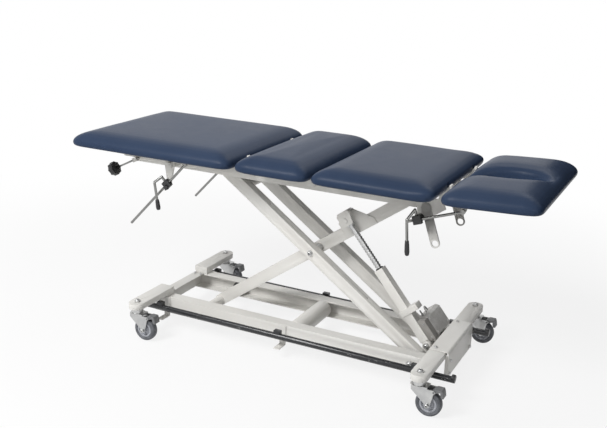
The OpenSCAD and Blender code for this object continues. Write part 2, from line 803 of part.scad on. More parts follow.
// end face of the gear motor towards the near side
module motor_housing() {
    outline = [[box_start, box_mid], [box_start - box_edge / 6, box_high], [box_end - box_edge, box_high],
        [box_end, box_mid + box_edge / 2], [box_end, box_mid]];
    color(taupe) on_actuator() side_plate(outline, -act_w / 2, box_y);
}

module control_box() {
    outline = [[box_start + box_edge, box_low], [box_start + box_edge * 2 / 3, box_edge],
        [box_start - box_edge / 6, 2 * box_edge], [box_start - box_edge / 6, box_high], [box_end - box_edge, box_high],
        [box_end, box_high - box_edge], [box_end, box_low]];
    color(off_white) on_actuator() side_plate(outline, box_y + weld_gap, box_y + box_w);
}

cable_r = 3.2;

// half ring that stands on the end of the control box
module cable_loop(y, r, lean) {
    color(grey) on_actuator() translate([box_end, y, (box_low + box_high) / 2])
        rotate([lean, 0, 0]) rotate([0, 90, 0]) rotate([90, 0, 0]) rotate_extrude(angle = 180, $fn = 48)
        translate([r, 0]) circle(r = cable_r, $fn = 16);
}

module cable_loops() {
    loop_r = 21;
    loop_gap = 46;
    cable_loop(box_y + 0.65 * loop_gap, loop_r, 62);
    cable_loop(box_y + 1.75 * loop_gap, loop_r, 74);
}

module actuator_rod() {
    start = 170;
    eye_half = 15;
    groove = 2;
    pitch = 12;
    thread_x = act_tube + 6;
    stop_x = act_len - rod_eye_r;
    color(steel) on_actuator() difference() {
        union() {
            translate([start, 0, 0]) rotate([0, 90, 0])
                cylinder(r = act_rod_d / 2, h = stop_x - start, $fn = 28);
            cross_pin(act_len, 0, -eye_half, eye_half, rod_eye_r);
            span(stop_x - rod_eye_r, act_len, -eye_half + 4, eye_half - 4, -act_rod_d / 2, act_rod_d / 2);
        }
        for (x = [thread_x : pitch : stop_x - 2 * pitch])
            translate([x, 0, 0]) rotate([0, 90, 0]) difference() {
                cylinder(r = act_rod_d, h = pitch / 3, $fn = 28);
                cylinder(r = act_rod_d / 2 - groove, h = pitch / 3, $fn = 28);
            }
        cross_pin(act_len, 0, -act_w, act_w, act_pin_r);
    }
}

// Top frame

member_w = 30;
member_x = [-170, 90, 330, top_x1 - member_w - 2];
member_y = [250, 250, 250, 150];
low_member_x = [-772, -640];
hinge_finger = 5;
hinge_foot = 54;
clamp_half = 16;
knob_z = -clamp_half * 0.69;
shaft_r = 7;

module top_rails() {
    color(off_white) both_sides()
        channel(top_x0, top_x1, top_in, top_w, top_rail_z, top_rail_h, rail_wall);
}

module top_cross_members() {
    rail_top_z = top_rail_z + top_rail_h;
    color(off_white) {
        for (i = [0 : len(member_x) - 1])
            span(member_x[i], member_x[i] + member_w, -member_y[i], member_y[i], rail_top_z, pad_z);
        for (x = low_member_x)
            span(x, x + member_w, -top_in, top_in, top_rail_z + rail_wall, rail_top_z - rail_wall);
        cross_pin(top_pin_x, top_pin_z, rail_wall - top_out, top_out - rail_wall, pin_r);
    }
}

module head_hinge_brackets() {
    finger = [head_hinge_x - hinge_finger, head_hinge_x + hinge_finger];
    foot = top_rail_z + top_rail_h;
    gusset = [[top_x1 - 50, foot - 2], [top_x1 - 38, head_clamp_z - 13], [top_x1 - 10, head_clamp_z - 11],
        [finger[0] - 9, foot - 35], [finger[0] - 21, foot - 7], [finger[0] - 26, foot + 11],
        [finger[1] - 1, hinge_z - 4], [finger[0], hinge_z], [finger[0] - 38, foot + 14],
        [finger[0] - 42, foot]];
    color(off_white) both_sides() {
        difference() {
            union() {
                side_plate(gusset, top_out, top_out + plate_t);
                cross_pin(head_hinge_x, hinge_z, top_out, top_out + plate_t, hinge_finger);
            }
            cross_pin(head_clamp_x, head_clamp_z, 0, 2 * top_out, shaft_r);
        }
        cross_pin(head_hinge_x, hinge_z, top_out + weld_gap, top_out + 3.5 * plate_t, small_pin_r);
    }
    color(steel) cross_pin(head_clamp_x, head_clamp_z, 8 - head_rod_y, head_rod_y - 8, shaft_r);
}

// straps that hang beside the head section's clamps, each with a hole
module strap_tabs() {
    low = [head_hinge_x - strap_back, pad_z - strap_drop];
    top = low + [-strap_lean, strap_rise];
    y0 = top_out + plate_t + weld_gap;
    color(off_white) both_sides() difference() {
        strap(top, low, strap_w / 2, y0, y0 + plate_t);
        cross_pin(low[0], low[1], 0, 2 * top_out, strap_hole / 2);
    }
}

// Adjusting rods

// block that swivels on a shaft and grips a rod beside it
module rod_clamp(x, z, angle, y0, rod_y, bore_r, bore_y) {
    placed(x, z, angle) difference() {
        union() {
            span(-clamp_half, clamp_half, rod_y - rod_d / 2 - 1, rod_y + rod_d, -clamp_half, clamp_half);
            cross_pin(0, 0, y0, rod_y, clamp_half - 1);
        }
        cross_pin(0, 0, y0 - 1, bore_y, bore_r + fit_gap);
        translate([-2 * clamp_half, rod_y, 0]) rotate([0, 90, 0])
            cylinder(r = rod_d / 2 + fit_gap, h = 4 * clamp_half, $fn = 28);
    }
}

// rod from its lower end to an eye, turned to its resting angle
module adjusting_rod(x, z, angle, back, reach, rod_y) {
    eye_r = 9;
    placed(x, z, angle) {
        translate([-back, rod_y, 0]) rotate([0, 90, 0])
            cylinder(r = rod_d / 2, h = back + reach - eye_r / 2, $fn = 24);
        cross_pin(reach, 0, rod_y - rod_d / 2 + 1, rod_y + rod_d / 2 - 1, eye_r);
    }
}

// Leg section

leg_ear_y = 188;
carriage_y = 156;
carriage_w = 25;
carriage_z = 735;
carriage_h = 22;
carriage_x0 = -816;
carriage_x1 = -215;
glide_gap = 2.5;
flat_t = 12;
flat_x = [-816, -590, -247];
bracket_y = 228;
bracket_w = 24;
leg_rail_y = 215;
section_rail_h = 25;
leg_rail_z = pad_z - section_rail_h;
leg_clamp_y = leg_rod_y - 13;
leg_shaft_y = leg_rod_y - 7;
leg_shaft_r = 9;
leg_angle = atan2(leg_eye_z - leg_clamp_z, leg_eye_x - leg_clamp_x);
leg_reach = norm([leg_eye_x - leg_clamp_x, leg_eye_z - leg_clamp_z]);
leg_back = (leg_clamp_x - leg_rod_x) / cos(leg_angle);
pull_angle = 26.6;
pull_end = [-745, -190, 731];
pull_len = 121;
pull_r = 4;

module leg_carriage() {
    top = carriage_z + carriage_h;
    ear = [[leg_hinge_x - hinge_finger, hinge_z], [leg_hinge_x + hinge_finger, hinge_z],
        [leg_hinge_x + hinge_finger, carriage_z + 2], [carriage_x1 - carriage_w, carriage_z + 2],
        [carriage_x1 - carriage_w, top], [leg_hinge_x - hinge_finger, top + 8]];
    color(off_white) {
        both_sides() {
            span(carriage_x0, carriage_x1, carriage_y, carriage_y + carriage_w, carriage_z, top + glide_gap);
            difference() {
                union() {
                    side_plate(ear, carriage_y + carriage_w, carriage_y + carriage_w + plate_t);
                    cross_pin(leg_hinge_x, hinge_z, carriage_y + carriage_w,
                        carriage_y + carriage_w + plate_t, hinge_finger);
                }
            }
            cross_pin(leg_hinge_x, hinge_z, carriage_y + carriage_w + plate_t - weld_gap,
                leg_ear_y + 1.4 * plate_t, small_pin_r);
        }
        for (x = flat_x)
            span(x, x + 1.3 * carriage_w, -carriage_y - carriage_w, carriage_y + carriage_w,
                top + glide_gap - weld_gap, top + glide_gap + flat_t);
        both_sides() {
            span(leg_clamp_x - bracket_w / 8, leg_clamp_x + bracket_w * 0.875, carriage_y + carriage_w - weld_gap,
                leg_rod_y + rod_d / 2, carriage_z, top);
            side_plate([[leg_clamp_x - bracket_w, top], [leg_clamp_x + bracket_w * 1.2, top],
                [leg_clamp_x + leg_shaft_r, leg_clamp_z], [leg_clamp_x, leg_clamp_z - leg_shaft_r],
                [leg_clamp_x - leg_shaft_r, leg_clamp_z]], bracket_y, bracket_y + plate_t - side_gap);
            cross_pin(leg_clamp_x, leg_clamp_z, bracket_y, bracket_y + plate_t - side_gap, leg_shaft_r + 1);
            cross_pin(leg_clamp_x, leg_clamp_z, bracket_y, leg_shaft_y, leg_shaft_r);
        }
        difference() {
            placed(pull_end[0], pull_end[2], pull_angle)
                span(-18, 4, pull_end[1] - 8, -carriage_y - carriage_w + weld_gap, -9, 9);
            placed(pull_end[0], pull_end[2], pull_angle) translate([-pull_len, pull_end[1], 0])
                rotate([0, 90, 0]) cylinder(r = pull_r + fit_gap, h = 2 * pull_len, $fn = 24);
        }
    }
}

module pull_rod() {
    tail = 14;
    color(steel) placed(pull_end[0], pull_end[2], pull_angle) translate([-pull_len, pull_end[1], 0])
        rotate([0, 90, 0]) cylinder(r = pull_r, h = pull_len + tail, $fn = 24);
}

module pull_knob() {
    knob_r = 30;
    knob_t = 22;
    lobe_r = 6;
    lobes = 8;
    color(black) placed(pull_end[0], pull_end[2], pull_angle) translate([-pull_len, pull_end[1], 0])
        rotate([0, -90, 0]) difference() {
            union() {
                cylinder(r = knob_r - lobe_r / 2, h = knob_t, $fn = 40);
                for (i = [1 : lobes]) rotate([0, 0, 360 / lobes * i]) translate([knob_r - lobe_r, 0, 0])
                    cylinder(r = lobe_r, h = knob_t, $fn = 20);
            }
            translate([0, 0, knob_t - 4]) cylinder(r = knob_r / 2, h = knob_t, $fn = 32);
        }
}

module leg_frame() {
    ear = [[leg_hinge_x - hinge_finger, hinge_z], [leg_hinge_x + hinge_finger, hinge_z],
        [leg_hinge_x + hinge_finger, hinge_z - hinge_foot], [carriage_x1 - carriage_w, hinge_z - hinge_foot],
        [carriage_x1 - carriage_w, pad_z], [leg_hinge_x - hinge_finger, pad_z]];
    lug = [[leg_eye_x - 18, pad_z - 2], [leg_eye_x + 18, pad_z - 2], [leg_eye_x + 9, leg_eye_z],
        [leg_eye_x, leg_eye_z - 9], [leg_eye_x - 9, leg_eye_z]];
    flat_z = carriage_z + carriage_h + glide_gap + flat_t + 1.5;
    color(off_white) {
        both_sides() {
            span(carriage_x0, carriage_x1 - 10, leg_rail_y, leg_rail_y + carriage_w, leg_rail_z, pad_z);
            difference() {
                union() {
                    side_plate(ear, leg_ear_y, leg_ear_y + plate_t);
                    cross_pin(leg_hinge_x, hinge_z, leg_ear_y, leg_ear_y + plate_t, hinge_finger);
                }
                cross_pin(leg_hinge_x, hinge_z, 0, 2 * leg_ear_y, small_pin_r + fit_gap);
            }
            side_plate(lug, leg_rail_y + 18, leg_rail_y + 24);
        }
        for (x = flat_x)
            span(x, x + 1.2 * carriage_w, -leg_rail_y - weld_gap, leg_rail_y + weld_gap, flat_z, pad_z);
    }
}

module leg_pad() {
    color(navy) cushion(-top_half, leg_hinge_x - pad_gap / 2, pad_draw);
}

module leg_rods() {
    color(steel) both_sides()
        adjusting_rod(leg_clamp_x, leg_clamp_z, leg_angle, leg_back, leg_reach, leg_rod_y);
}

module leg_clamps() {
    color(black) difference() {
        both_sides()
            rod_clamp(leg_clamp_x, leg_clamp_z, leg_angle, leg_clamp_y, leg_rod_y, leg_shaft_r, leg_shaft_y + 0.5);
        placed(leg_clamp_x, leg_clamp_z, leg_angle) {
            upright(0, -leg_rod_y, clamp_half / 2, 2 * clamp_half, lever_r + fit_gap);
            cross_pin(-clamp_half / 3, knob_z, -2 * leg_rod_y, -leg_rod_y - rod_d / 2, small_pin_r + fit_gap);
        }
    }
}

lever_r = lever_d / 2;
grip_r = grip_d / 2;

clamp_stub = 38;

// lever of a clamp: stub, crank and handle, ends at the grip
module clamp_lever(x, z, angle, y, out, bend, low) {
    foot = clamp_half * 0.6;
    start = [x - foot * sin(angle), -y, z + foot * cos(angle)];
    top = [x - clamp_stub * sin(angle), -y, z + clamp_stub * cos(angle)];
    color(steel) bent_bar([start, top, [bend[0], -out, bend[1]], [low[0], -out, low[1]]], lever_r);
}

// each hand lever from its clamp: crank, handle and side position
leg_crank = [-48, 5];
leg_handle = [12, -72];
leg_lever_out = 23;
leg_lever_y = leg_rod_y + leg_lever_out;
leg_lever_bend = [leg_clamp_x, leg_clamp_z] + leg_crank;
leg_lever_low = leg_lever_bend + leg_handle;
leg_grip_end = leg_lever_low + leg_handle * 0.6;
head_crank = [-33, -1];
head_handle = [6, -78];
head_lever_out = 22;
head_lever_y = head_rod_y + head_lever_out;
head_lever_bend = [head_clamp_x, head_clamp_z] + head_crank;
head_lever_low = head_lever_bend + head_handle;
head_grip_end = head_lever_low + head_handle * 0.74;

module grip(low, end, y) {
    run = [end[0] - low[0], 0, end[1] - low[1]];
    color(black) translate([low[0], -y, low[1]]) rotate([0, acos(run[2] / norm(run)), atan2(run[1], run[0])])
        rotate_extrude($fn = 28)
        polygon([[0, 0], [grip_r * 0.75, 0], [grip_r * 0.9, norm(run) / 4], [grip_r, norm(run) * 0.75],
            [grip_r * 0.8, norm(run) * 0.95], [grip_r / 2, norm(run)], [0, norm(run)]]);
}

module leg_lever() {
    clamp_lever(leg_clamp_x, leg_clamp_z, leg_angle, leg_rod_y, leg_lever_y, leg_lever_bend, leg_lever_low);
}

module leg_grip() {
    grip(leg_lever_low, leg_grip_end, leg_lever_y);
}

module star_knob() {
    knob_r = 8;
    knob_t = 9;
    arm_r = 3.5;
    arms = 5;
    y = -leg_rod_y - rod_d - side_gap;
    color(black) placed(leg_clamp_x, leg_clamp_z, leg_angle) translate([-clamp_half / 3, y, knob_z])
        rotate([90, 0, 0]) union() {
            cylinder(r = knob_r, h = knob_t, $fn = 28);
            for (i = [1 : arms]) rotate([0, 0, 360 / arms * i]) translate([knob_r, 0, 0])
                cylinder(r = arm_r, h = knob_t, $fn = 20);
            translate([0, 0, side_gap - rod_d / 3]) cylinder(r = small_pin_r, h = rod_d, $fn = 24);
        }
}

// Head section

head_rail_y = 175;
head_rail_w = 20;
head_rail_x0 = 634;
head_rail_x1 = 945;
head_ear_y = 163;
head_angle = atan2(head_eye_z - head_clamp_z, head_eye_x - head_clamp_x);
head_reach = norm([head_eye_x - head_clamp_x, head_eye_z - head_clamp_z]);
head_back = 40;

module tilted() {
    translate([head_hinge_x, 0, hinge_z]) rotate([0, -head_tilt, 0])
        translate([-head_hinge_x, 0, -hinge_z]) children();
}

module head_frame() {
    ear = [[head_hinge_x - hinge_finger, hinge_z], [head_hinge_x + hinge_finger, hinge_z],
        [head_hinge_x + hinge_finger, pad_z], [head_rail_x0 + head_rail_w, pad_z],
        [head_rail_x0 + head_rail_w, hinge_z - hinge_foot], [head_hinge_x - hinge_finger, hinge_z - hinge_foot]];
    lug = [[head_eye_x - 20, leg_rail_z + 10], [head_eye_x + 20, leg_rail_z + 10], [head_eye_x + 9, head_eye_z],
        [head_eye_x, head_eye_z - 9], [head_eye_x - 9, head_eye_z]];
    color(off_white) {
        tilted() {
            both_sides() {
                span(head_rail_x0, head_rail_x1, head_rail_y, head_rail_y + head_rail_w, leg_rail_z, pad_z);
                difference() {
                    union() {
                        side_plate(ear, head_ear_y, head_ear_y + plate_t);
                        cross_pin(head_hinge_x, hinge_z, head_ear_y, head_ear_y + plate_t, hinge_finger);
                    }
                    cross_pin(head_hinge_x, hinge_z, 0, 2 * head_ear_y, small_pin_r + fit_gap);
                }
            }
            for (x = [head_rail_x0, head_rail_x1 - head_rail_w])
                span(x, x + head_rail_w, -head_rail_y - weld_gap, head_rail_y + weld_gap, leg_rail_z + 5, pad_z);
        }
        both_sides() side_plate(lug, head_rail_y + head_rail_w - plate_t - 1, head_rail_y + head_rail_w - 1);
    }
}

module head_pad() {
    color(navy) tilted() difference() {
        face_cushion(head_hinge_x + pad_gap / 2, top_half);
        hinge_notch(head_hinge_x, head_hinge_x + notch_len);
    }
}

module head_rods() {
    color(steel) both_sides()
        adjusting_rod(head_clamp_x, head_clamp_z, head_angle, head_back, head_reach, head_rod_y);
}

module head_clamps() {
    color(black) difference() {
        both_sides() rod_clamp(head_clamp_x, head_clamp_z, head_angle, head_rod_y - 34, head_rod_y, shaft_r,
            head_rod_y - 7.5);
        placed(head_clamp_x, head_clamp_z, head_angle)
            upright(0, -head_rod_y, clamp_half / 2, 2 * clamp_half, lever_r + fit_gap);
    }
}

module head_lever() {
    clamp_lever(head_clamp_x, head_clamp_z, head_angle, head_rod_y, head_lever_y, head_lever_bend,
        head_lever_low + head_handle * 0.02);
    grip(head_lever_low, head_grip_end, head_lever_y);
}

base_rails();
base_cross_tube();
end_beams();
foot_end_plate();
head_end_cover();
actuator_foot_bracket();
foot_bar_brackets();
base_bolts();
pivot_pins();
foot_bar_near();
foot_bar_far();
caster_fork_nf();
caster_tyre_nf();
caster_hub_nf();
brake_pedal_nf();
caster_fork_ff();
caster_tyre_ff();
caster_hub_ff();
brake_pedal_ff();
caster_fork_nh();
caster_tyre_nh();
caster_hub_nh();
brake_pedal_nh();
caster_fork_fh();
caster_tyre_fh();
caster_hub_fh();
brake_pedal_fh();
outer_arms();
outer_tie();
inner_arm();
rod_clevis();
scissor_pivot();
lower_rollers();
upper_rollers();
actuator_tube();
motor_housing();
control_box();
cable_loops();
actuator_rod();
top_rails();
top_cross_members();
head_hinge_brackets();
strap_tabs();
pelvic_pad();
chest_pad();
leg_carriage();
pull_rod();
pull_knob();
leg_frame();
leg_pad();
leg_rods();
leg_clamps();
leg_lever();
leg_grip();
star_knob();
head_frame();
head_pad();
head_rods();
head_clamps();
head_lever();
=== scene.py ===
# Treatment table with a scissor lift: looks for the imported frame.
import json
import math

import bmesh
import bpy
from mathutils import Matrix, Vector


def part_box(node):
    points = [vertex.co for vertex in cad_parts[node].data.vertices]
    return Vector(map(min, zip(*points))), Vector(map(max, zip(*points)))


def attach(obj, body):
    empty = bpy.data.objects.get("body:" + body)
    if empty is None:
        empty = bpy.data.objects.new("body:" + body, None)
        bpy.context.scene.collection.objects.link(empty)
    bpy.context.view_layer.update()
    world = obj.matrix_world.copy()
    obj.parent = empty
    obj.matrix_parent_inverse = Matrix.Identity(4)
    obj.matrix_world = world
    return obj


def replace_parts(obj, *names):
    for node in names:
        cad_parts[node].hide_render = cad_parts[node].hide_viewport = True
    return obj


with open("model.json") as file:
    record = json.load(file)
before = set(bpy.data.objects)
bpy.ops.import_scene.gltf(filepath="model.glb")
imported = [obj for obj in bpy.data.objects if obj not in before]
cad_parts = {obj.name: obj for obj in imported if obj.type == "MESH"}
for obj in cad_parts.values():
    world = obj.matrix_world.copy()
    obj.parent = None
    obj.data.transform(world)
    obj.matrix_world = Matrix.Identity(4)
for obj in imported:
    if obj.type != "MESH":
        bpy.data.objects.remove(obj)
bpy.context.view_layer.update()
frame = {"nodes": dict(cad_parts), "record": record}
print("frame loaded:", len(frame["nodes"]), "nodes")

nearFar = (-1, 1)       # signs of y for the near and the far side


# camera, where the photographer stood

view = {
    "place": (1.48613, -3.14558, 1.63966),
    "azimuth": 25.93,
    "elevation": 17.22,
    "roll": 2.06,
    "lens": 52.43,
    "sensor": 36,
    "farthest": 50,     # metres that it sees
}


def aimCamera():
    azimuth, elevation, roll = (math.radians(view[key]) for key in ("azimuth", "elevation", "roll"))
    back = Vector((math.sin(azimuth) * math.cos(elevation), -math.cos(azimuth) * math.cos(elevation),
                   math.sin(elevation)))
    right = Vector((math.cos(azimuth), math.sin(azimuth), 0))
    up = back.cross(right)
    right, up = (right * math.cos(roll) + up * math.sin(roll), up * math.cos(roll) - right * math.sin(roll))
    turn = Matrix((right, up, back)).transposed()
    data = bpy.data.cameras.new("camera")
    data.lens = view["lens"]
    data.sensor_width = view["sensor"]
    data.clip_end = view["farthest"]
    camera = bpy.data.objects.new("camera", data)
    camera.matrix_world = Matrix.Translation(view["place"]) @ turn.to_4x4()
    bpy.context.scene.collection.objects.link(camera)
    bpy.context.scene.camera = camera


aimCamera()


# shader graph written as Python

class Wire:
    # one output socket, or a plain number, that takes part in maths
    def __init__(self, finish, socket):
        self.finish = finish
        self.socket = socket

    def maths(self, operation, *others):
        return self.finish.node("ShaderNodeMath", {"operation": operation}, dict(enumerate(others)))

    def __add__(self, other):
        return self.maths("ADD", self, other)

    def __rsub__(self, other):
        return self.maths("SUBTRACT", other, self)

    def __mul__(self, other):
        return self.maths("MULTIPLY", self, other)

    def __gt__(self, other):
        return self.maths("GREATER_THAN", self, other)

    __radd__ = __add__
    __rmul__ = __mul__


class Finish:
    # one material: nodes go in through node(), and surface() closes it
    def __init__(self, name):
        self.material = bpy.data.materials.new(name)
        self.material.use_nodes = True
        self.tree = self.material.node_tree
        self.tree.nodes.clear()
        self.shader = self.tree.nodes.new("ShaderNodeBsdfPrincipled")
        ending = self.tree.nodes.new("ShaderNodeOutputMaterial")
        self.tree.links.new(self.shader.outputs[0], ending.inputs[0])

    def node(self, kind, settings=None, inputs=None, output=0):
        made = self.tree.nodes.new(kind)
        for key, value in (settings or {}).items():
            setattr(made, key, value)
        for key, value in (inputs or {}).items():
            self.plug(made.inputs[key], value)
        return Wire(self, made.outputs[output])

    def plug(self, socket, value):
        if isinstance(value, Wire):
            self.tree.links.new(value.socket, socket)
        elif isinstance(value, tuple) and len(value) == 3 and socket.type == "RGBA":
            socket.default_value = (*value, 1)
        else:
            socket.default_value = value

    def place(self, stretch=(1, 1, 1)):
        spot = self.node("ShaderNodeTexCoord", output="Object")
        return self.node("ShaderNodeMapping", {}, {"Vector": spot, "Scale": stretch})

    def noise(self, scale, detail=3.0, rough=0.55, where=None, bend=0.0):
        inputs = {"Vector": where or self.place(), "Scale": scale, "Detail": detail, "Roughness": rough,
                  "Distortion": bend}
        return self.node("ShaderNodeTexNoise", {}, inputs)

    def cells(self, scale, where=None, feature="F1", random=1.0):
        inputs = {"Vector": where or self.place(), "Scale": scale, "Randomness": random}
        return self.node("ShaderNodeTexVoronoi", {"feature": feature}, inputs, "Distance")

    def band(self, value, low, high):
        settings = {"interpolation_type": "SMOOTHSTEP"}
        return self.node("ShaderNodeMapRange", settings, {"Value": value, "From Min": low, "From Max": high})

    def mix(self, share, first, second):
        return self.node("ShaderNodeMix", {"data_type": "RGBA"}, {"Factor": share, 6: first, 7: second}, 2)

    def surface(self, colour, roughness, metallic=0.0, height=None, depth=0.0003, strength=0.5, **constants):
        self.plug(self.shader.inputs["Base Color"], colour)
        self.plug(self.shader.inputs["Roughness"], roughness)
        self.plug(self.shader.inputs["Metallic"], metallic)
        if height is not None:
            inputs = {"Height": height, "Distance": depth, "Strength": strength}
            self.plug(self.shader.inputs["Normal"], self.node("ShaderNodeBump", {}, inputs))
        for key, value in constants.items():
            self.shader.inputs[key.replace("_", " ")].default_value = value
        return self.material


# finishes, named for what they are on the table

def whitePowderCoat():
    finish = Finish("whitePowderCoat")
    peel = finish.noise(900, 2)
    patches = finish.noise(3.2, 4)
    specks = finish.noise(420, 3) > 0.71
    tone = finish.mix(finish.band(patches, 0.35, 0.7), (0.69, 0.675, 0.64), (0.735, 0.725, 0.695))
    tone = finish.mix(specks * 0.35, tone, (0.42, 0.4, 0.37))
    shine = 0.34 + peel * 0.12 + patches * 0.06
    return finish.surface(tone, shine, height=peel, depth=0.00025, strength=0.35)


def blackPaint():
    finish = Finish("blackPaint")
    chips = finish.noise(55, 6, 0.7, finish.place((0.35, 1, 1)))
    worn = finish.band(chips, 0.62, 0.67)
    dust = finish.noise(14, 4)
    tone = finish.mix(dust, (0.008, 0.009, 0.011), (0.02, 0.021, 0.024))
    tone = finish.mix(worn, tone, (0.34, 0.34, 0.33))
    shine = 0.2 + dust * 0.15 + worn * 0.2
    return finish.surface(tone, shine, height=chips, depth=0.0004, strength=0.3)


def navyVinyl():
    finish = Finish("navyVinyl")
    grain = finish.cells(620, finish.place((1, 1.15, 1)), "SMOOTH_F1")
    pores = finish.noise(1500, 2)
    swell = finish.noise(4.5, 3)
    creases = finish.noise(26, 4, 0.6, bend=0.6)
    tone = finish.mix(finish.band(swell, 0.3, 0.72), (0.025, 0.041, 0.079), (0.03, 0.048, 0.09))
    tone = finish.mix(finish.band(grain, 0.25, 0.75) * 0.3, tone, (0.016, 0.027, 0.055))
    shine = 0.27 + swell * 0.1 + creases * 0.06
    relief = grain * 0.7 + pores * 0.3 + creases * 0.8
    return finish.surface(tone, shine, height=relief, depth=0.0004, strength=0.3, Specular_IOR_Level=0.085)


def boardCloth():
    finish = Finish("boardCloth")
    threads = finish.cells(900, feature="F1", random=0.25)
    fuzz = finish.noise(60, 4)
    tone = finish.mix(fuzz, (0.012, 0.012, 0.014), (0.028, 0.028, 0.03))
    return finish.surface(tone, 0.85 - threads * 0.1, height=threads, depth=0.0003)


def zincPlate():
    finish = Finish("zincPlate")
    streaks = finish.noise(120, 4, 0.6, finish.place((1, 6, 1)))
    clouds = finish.noise(38, 3)
    tone = finish.mix(clouds, (0.42, 0.425, 0.43), (0.66, 0.66, 0.65))
    shine = 0.24 + streaks * 0.16 + clouds * 0.08
    return finish.surface(tone, shine, 1.0, height=streaks, depth=0.0001, strength=0.3)


def chromePlate():
    finish = Finish("chromePlate")
    scratches = finish.noise(220, 3, 0.6, finish.place((1, 1, 9)))
    haze = finish.noise(18, 3)
    tone = finish.mix(haze, (0.2, 0.2, 0.195), (0.32, 0.32, 0.31))
    shine = 0.12 + scratches * 0.1 + haze * 0.06
    return finish.surface(tone, shine, 1.0, height=scratches, depth=0.00005, strength=0.2)


def greyTread():
    finish = Finish("greyTread")
    dirt = finish.noise(48, 5)
    fine = finish.noise(700, 2)
    tone = finish.mix(finish.band(dirt, 0.35, 0.7), (0.085, 0.09, 0.1), (0.14, 0.145, 0.16))
    return finish.surface(tone, 0.5 + dirt * 0.2, height=fine, depth=0.0002)


def lightHub():
    finish = Finish("lightHub")
    clouds = finish.noise(60, 3)
    fine = finish.noise(500, 2)
    tone = finish.mix(clouds, (0.3, 0.31, 0.34), (0.4, 0.41, 0.44))
    return finish.surface(tone, 0.4 + fine * 0.1, height=fine, depth=0.0001)


def pedalPlastic():
    finish = Finish("pedalPlastic")
    grain = finish.cells(900)
    scuffs = finish.noise(45, 5)
    tone = finish.mix(scuffs, (0.11, 0.115, 0.12), (0.2, 0.2, 0.205))
    return finish.surface(tone, 0.45 + grain * 0.15, height=grain, depth=0.0002)


def taupeHousing():
    finish = Finish("taupeHousing")
    grain = finish.noise(800, 2)
    clouds = finish.noise(20, 3)
    tone = finish.mix(clouds, (0.225, 0.215, 0.2), (0.29, 0.28, 0.265))
    return finish.surface(tone, 0.45 + grain * 0.12, height=grain, depth=0.0003)


def grainedBox():
    finish = Finish("grainedBox")
    pits = finish.cells(260, feature="SMOOTH_F1")
    fine = finish.noise(900, 2)
    patches = finish.noise(34, 4, 0.65)
    tone = finish.mix(finish.band(patches, 0.38, 0.66), (0.6, 0.59, 0.57), (0.78, 0.775, 0.76))
    # the darker colour, strongest at the bottoms of the pits, is painted shade
    tone = finish.mix(finish.band(pits, 0.0, 0.35) * 0.5, (0.42, 0.41, 0.39), tone)
    return finish.surface(tone, 0.5 + fine * 0.15, height=pits, depth=0.0012, strength=0.7)


def cableSheath():
    finish = Finish("cableSheath")
    ribs = finish.noise(300, 2)
    tone = finish.mix(ribs, (0.26, 0.26, 0.255), (0.36, 0.36, 0.35))
    return finish.surface(tone, 0.5 + ribs * 0.1, height=ribs, depth=0.0001)


# the black cast finish, which also paints the shade in the screw heads' recesses
def castBlackAndShade():
    finish = Finish("castBlackAndShade")
    pits = finish.noise(420, 4, 0.7)
    dust = finish.noise(40, 3)
    tone = finish.mix(dust, (0.012, 0.012, 0.013), (0.032, 0.032, 0.034))
    return finish.surface(tone, 0.36 + pits * 0.2, height=pits, depth=0.0005)


def gripPlastic():
    finish = Finish("gripPlastic")
    fine = finish.noise(700, 2)
    wear = finish.noise(50, 4)
    tone = finish.mix(wear, (0.01, 0.01, 0.011), (0.026, 0.026, 0.028))
    return finish.surface(tone, 0.26 + fine * 0.15, height=fine, depth=0.0002, strength=0.4)


def rollerNylon():
    finish = Finish("rollerNylon")
    rings = finish.noise(200, 3)
    tone = finish.mix(rings, (0.02, 0.02, 0.021), (0.05, 0.05, 0.052))
    return finish.surface(tone, 0.4 + rings * 0.1, height=rings, depth=0.0002)


finishes = {made.name: made for made in (
    whitePowderCoat(), blackPaint(), navyVinyl(), boardCloth(), zincPlate(), chromePlate(), greyTread(),
    lightHub(), pedalPlastic(), taupeHousing(), grainedBox(), cableSheath(), castBlackAndShade(), gripPlastic(),
    rollerNylon())}
slotFinish = {
    "off_white_paint": "whitePowderCoat", "black_paint": "blackPaint", "zinc_steel": "zincPlate",
    "roller_plastic": "rollerNylon", "taupe_plastic": "taupeHousing", "grained_plastic": "grainedBox",
    "cable_sheath": "cableSheath", "navy_vinyl": "navyVinyl", "chromed_steel": "chromePlate",
    "black_cast": "castBlackAndShade", "black_plastic": "gripPlastic", "grey_tread": "greyTread",
    "light_hub": "lightHub", "pedal_plastic": "pedalPlastic",
}
nodeSlot = {entry["node"]: entry["material_slot"] for entry in frame["record"]["subparts"]}
nodeBody = {node: body for body, nodes in frame["record"]["behaviour"]["bodies"].items() for node in nodes}
print("finishes made:", len(finishes))


# pieces in mesh code

def addPiece(name, mesh, body, slot, finish=None, smooth=True):
    piece = bpy.data.objects.new(name, mesh)
    bpy.context.scene.collection.objects.link(piece)
    mesh.materials.clear()
    mesh.materials.append(finishes[finish or slotFinish[slot]])
    for face in mesh.polygons:
        face.use_smooth = smooth
    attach(piece, body)
    return piece


def meshOf(name, bm):
    mesh = bpy.data.meshes.new(name)
    bm.normal_update()
    bm.to_mesh(mesh)
    bm.free()
    return mesh


def loftMesh(name, rings, roundTrip=False):
    bm = bmesh.new()
    loops = [[bm.verts.new(point) for point in ring] for ring in rings]
    pairs = list(zip(loops, loops[1:])) + ([(loops[-1], loops[0])] if roundTrip else [])
    for low, high in pairs:
        for i in range(len(low)):
            j = (i + 1) % len(low)
            bm.faces.new((low[i], low[j], high[j], high[i]))
    if not roundTrip:
        bm.faces.new(reversed(loops[0]))
        bm.faces.new(loops[-1])
    return meshOf(name, bm)


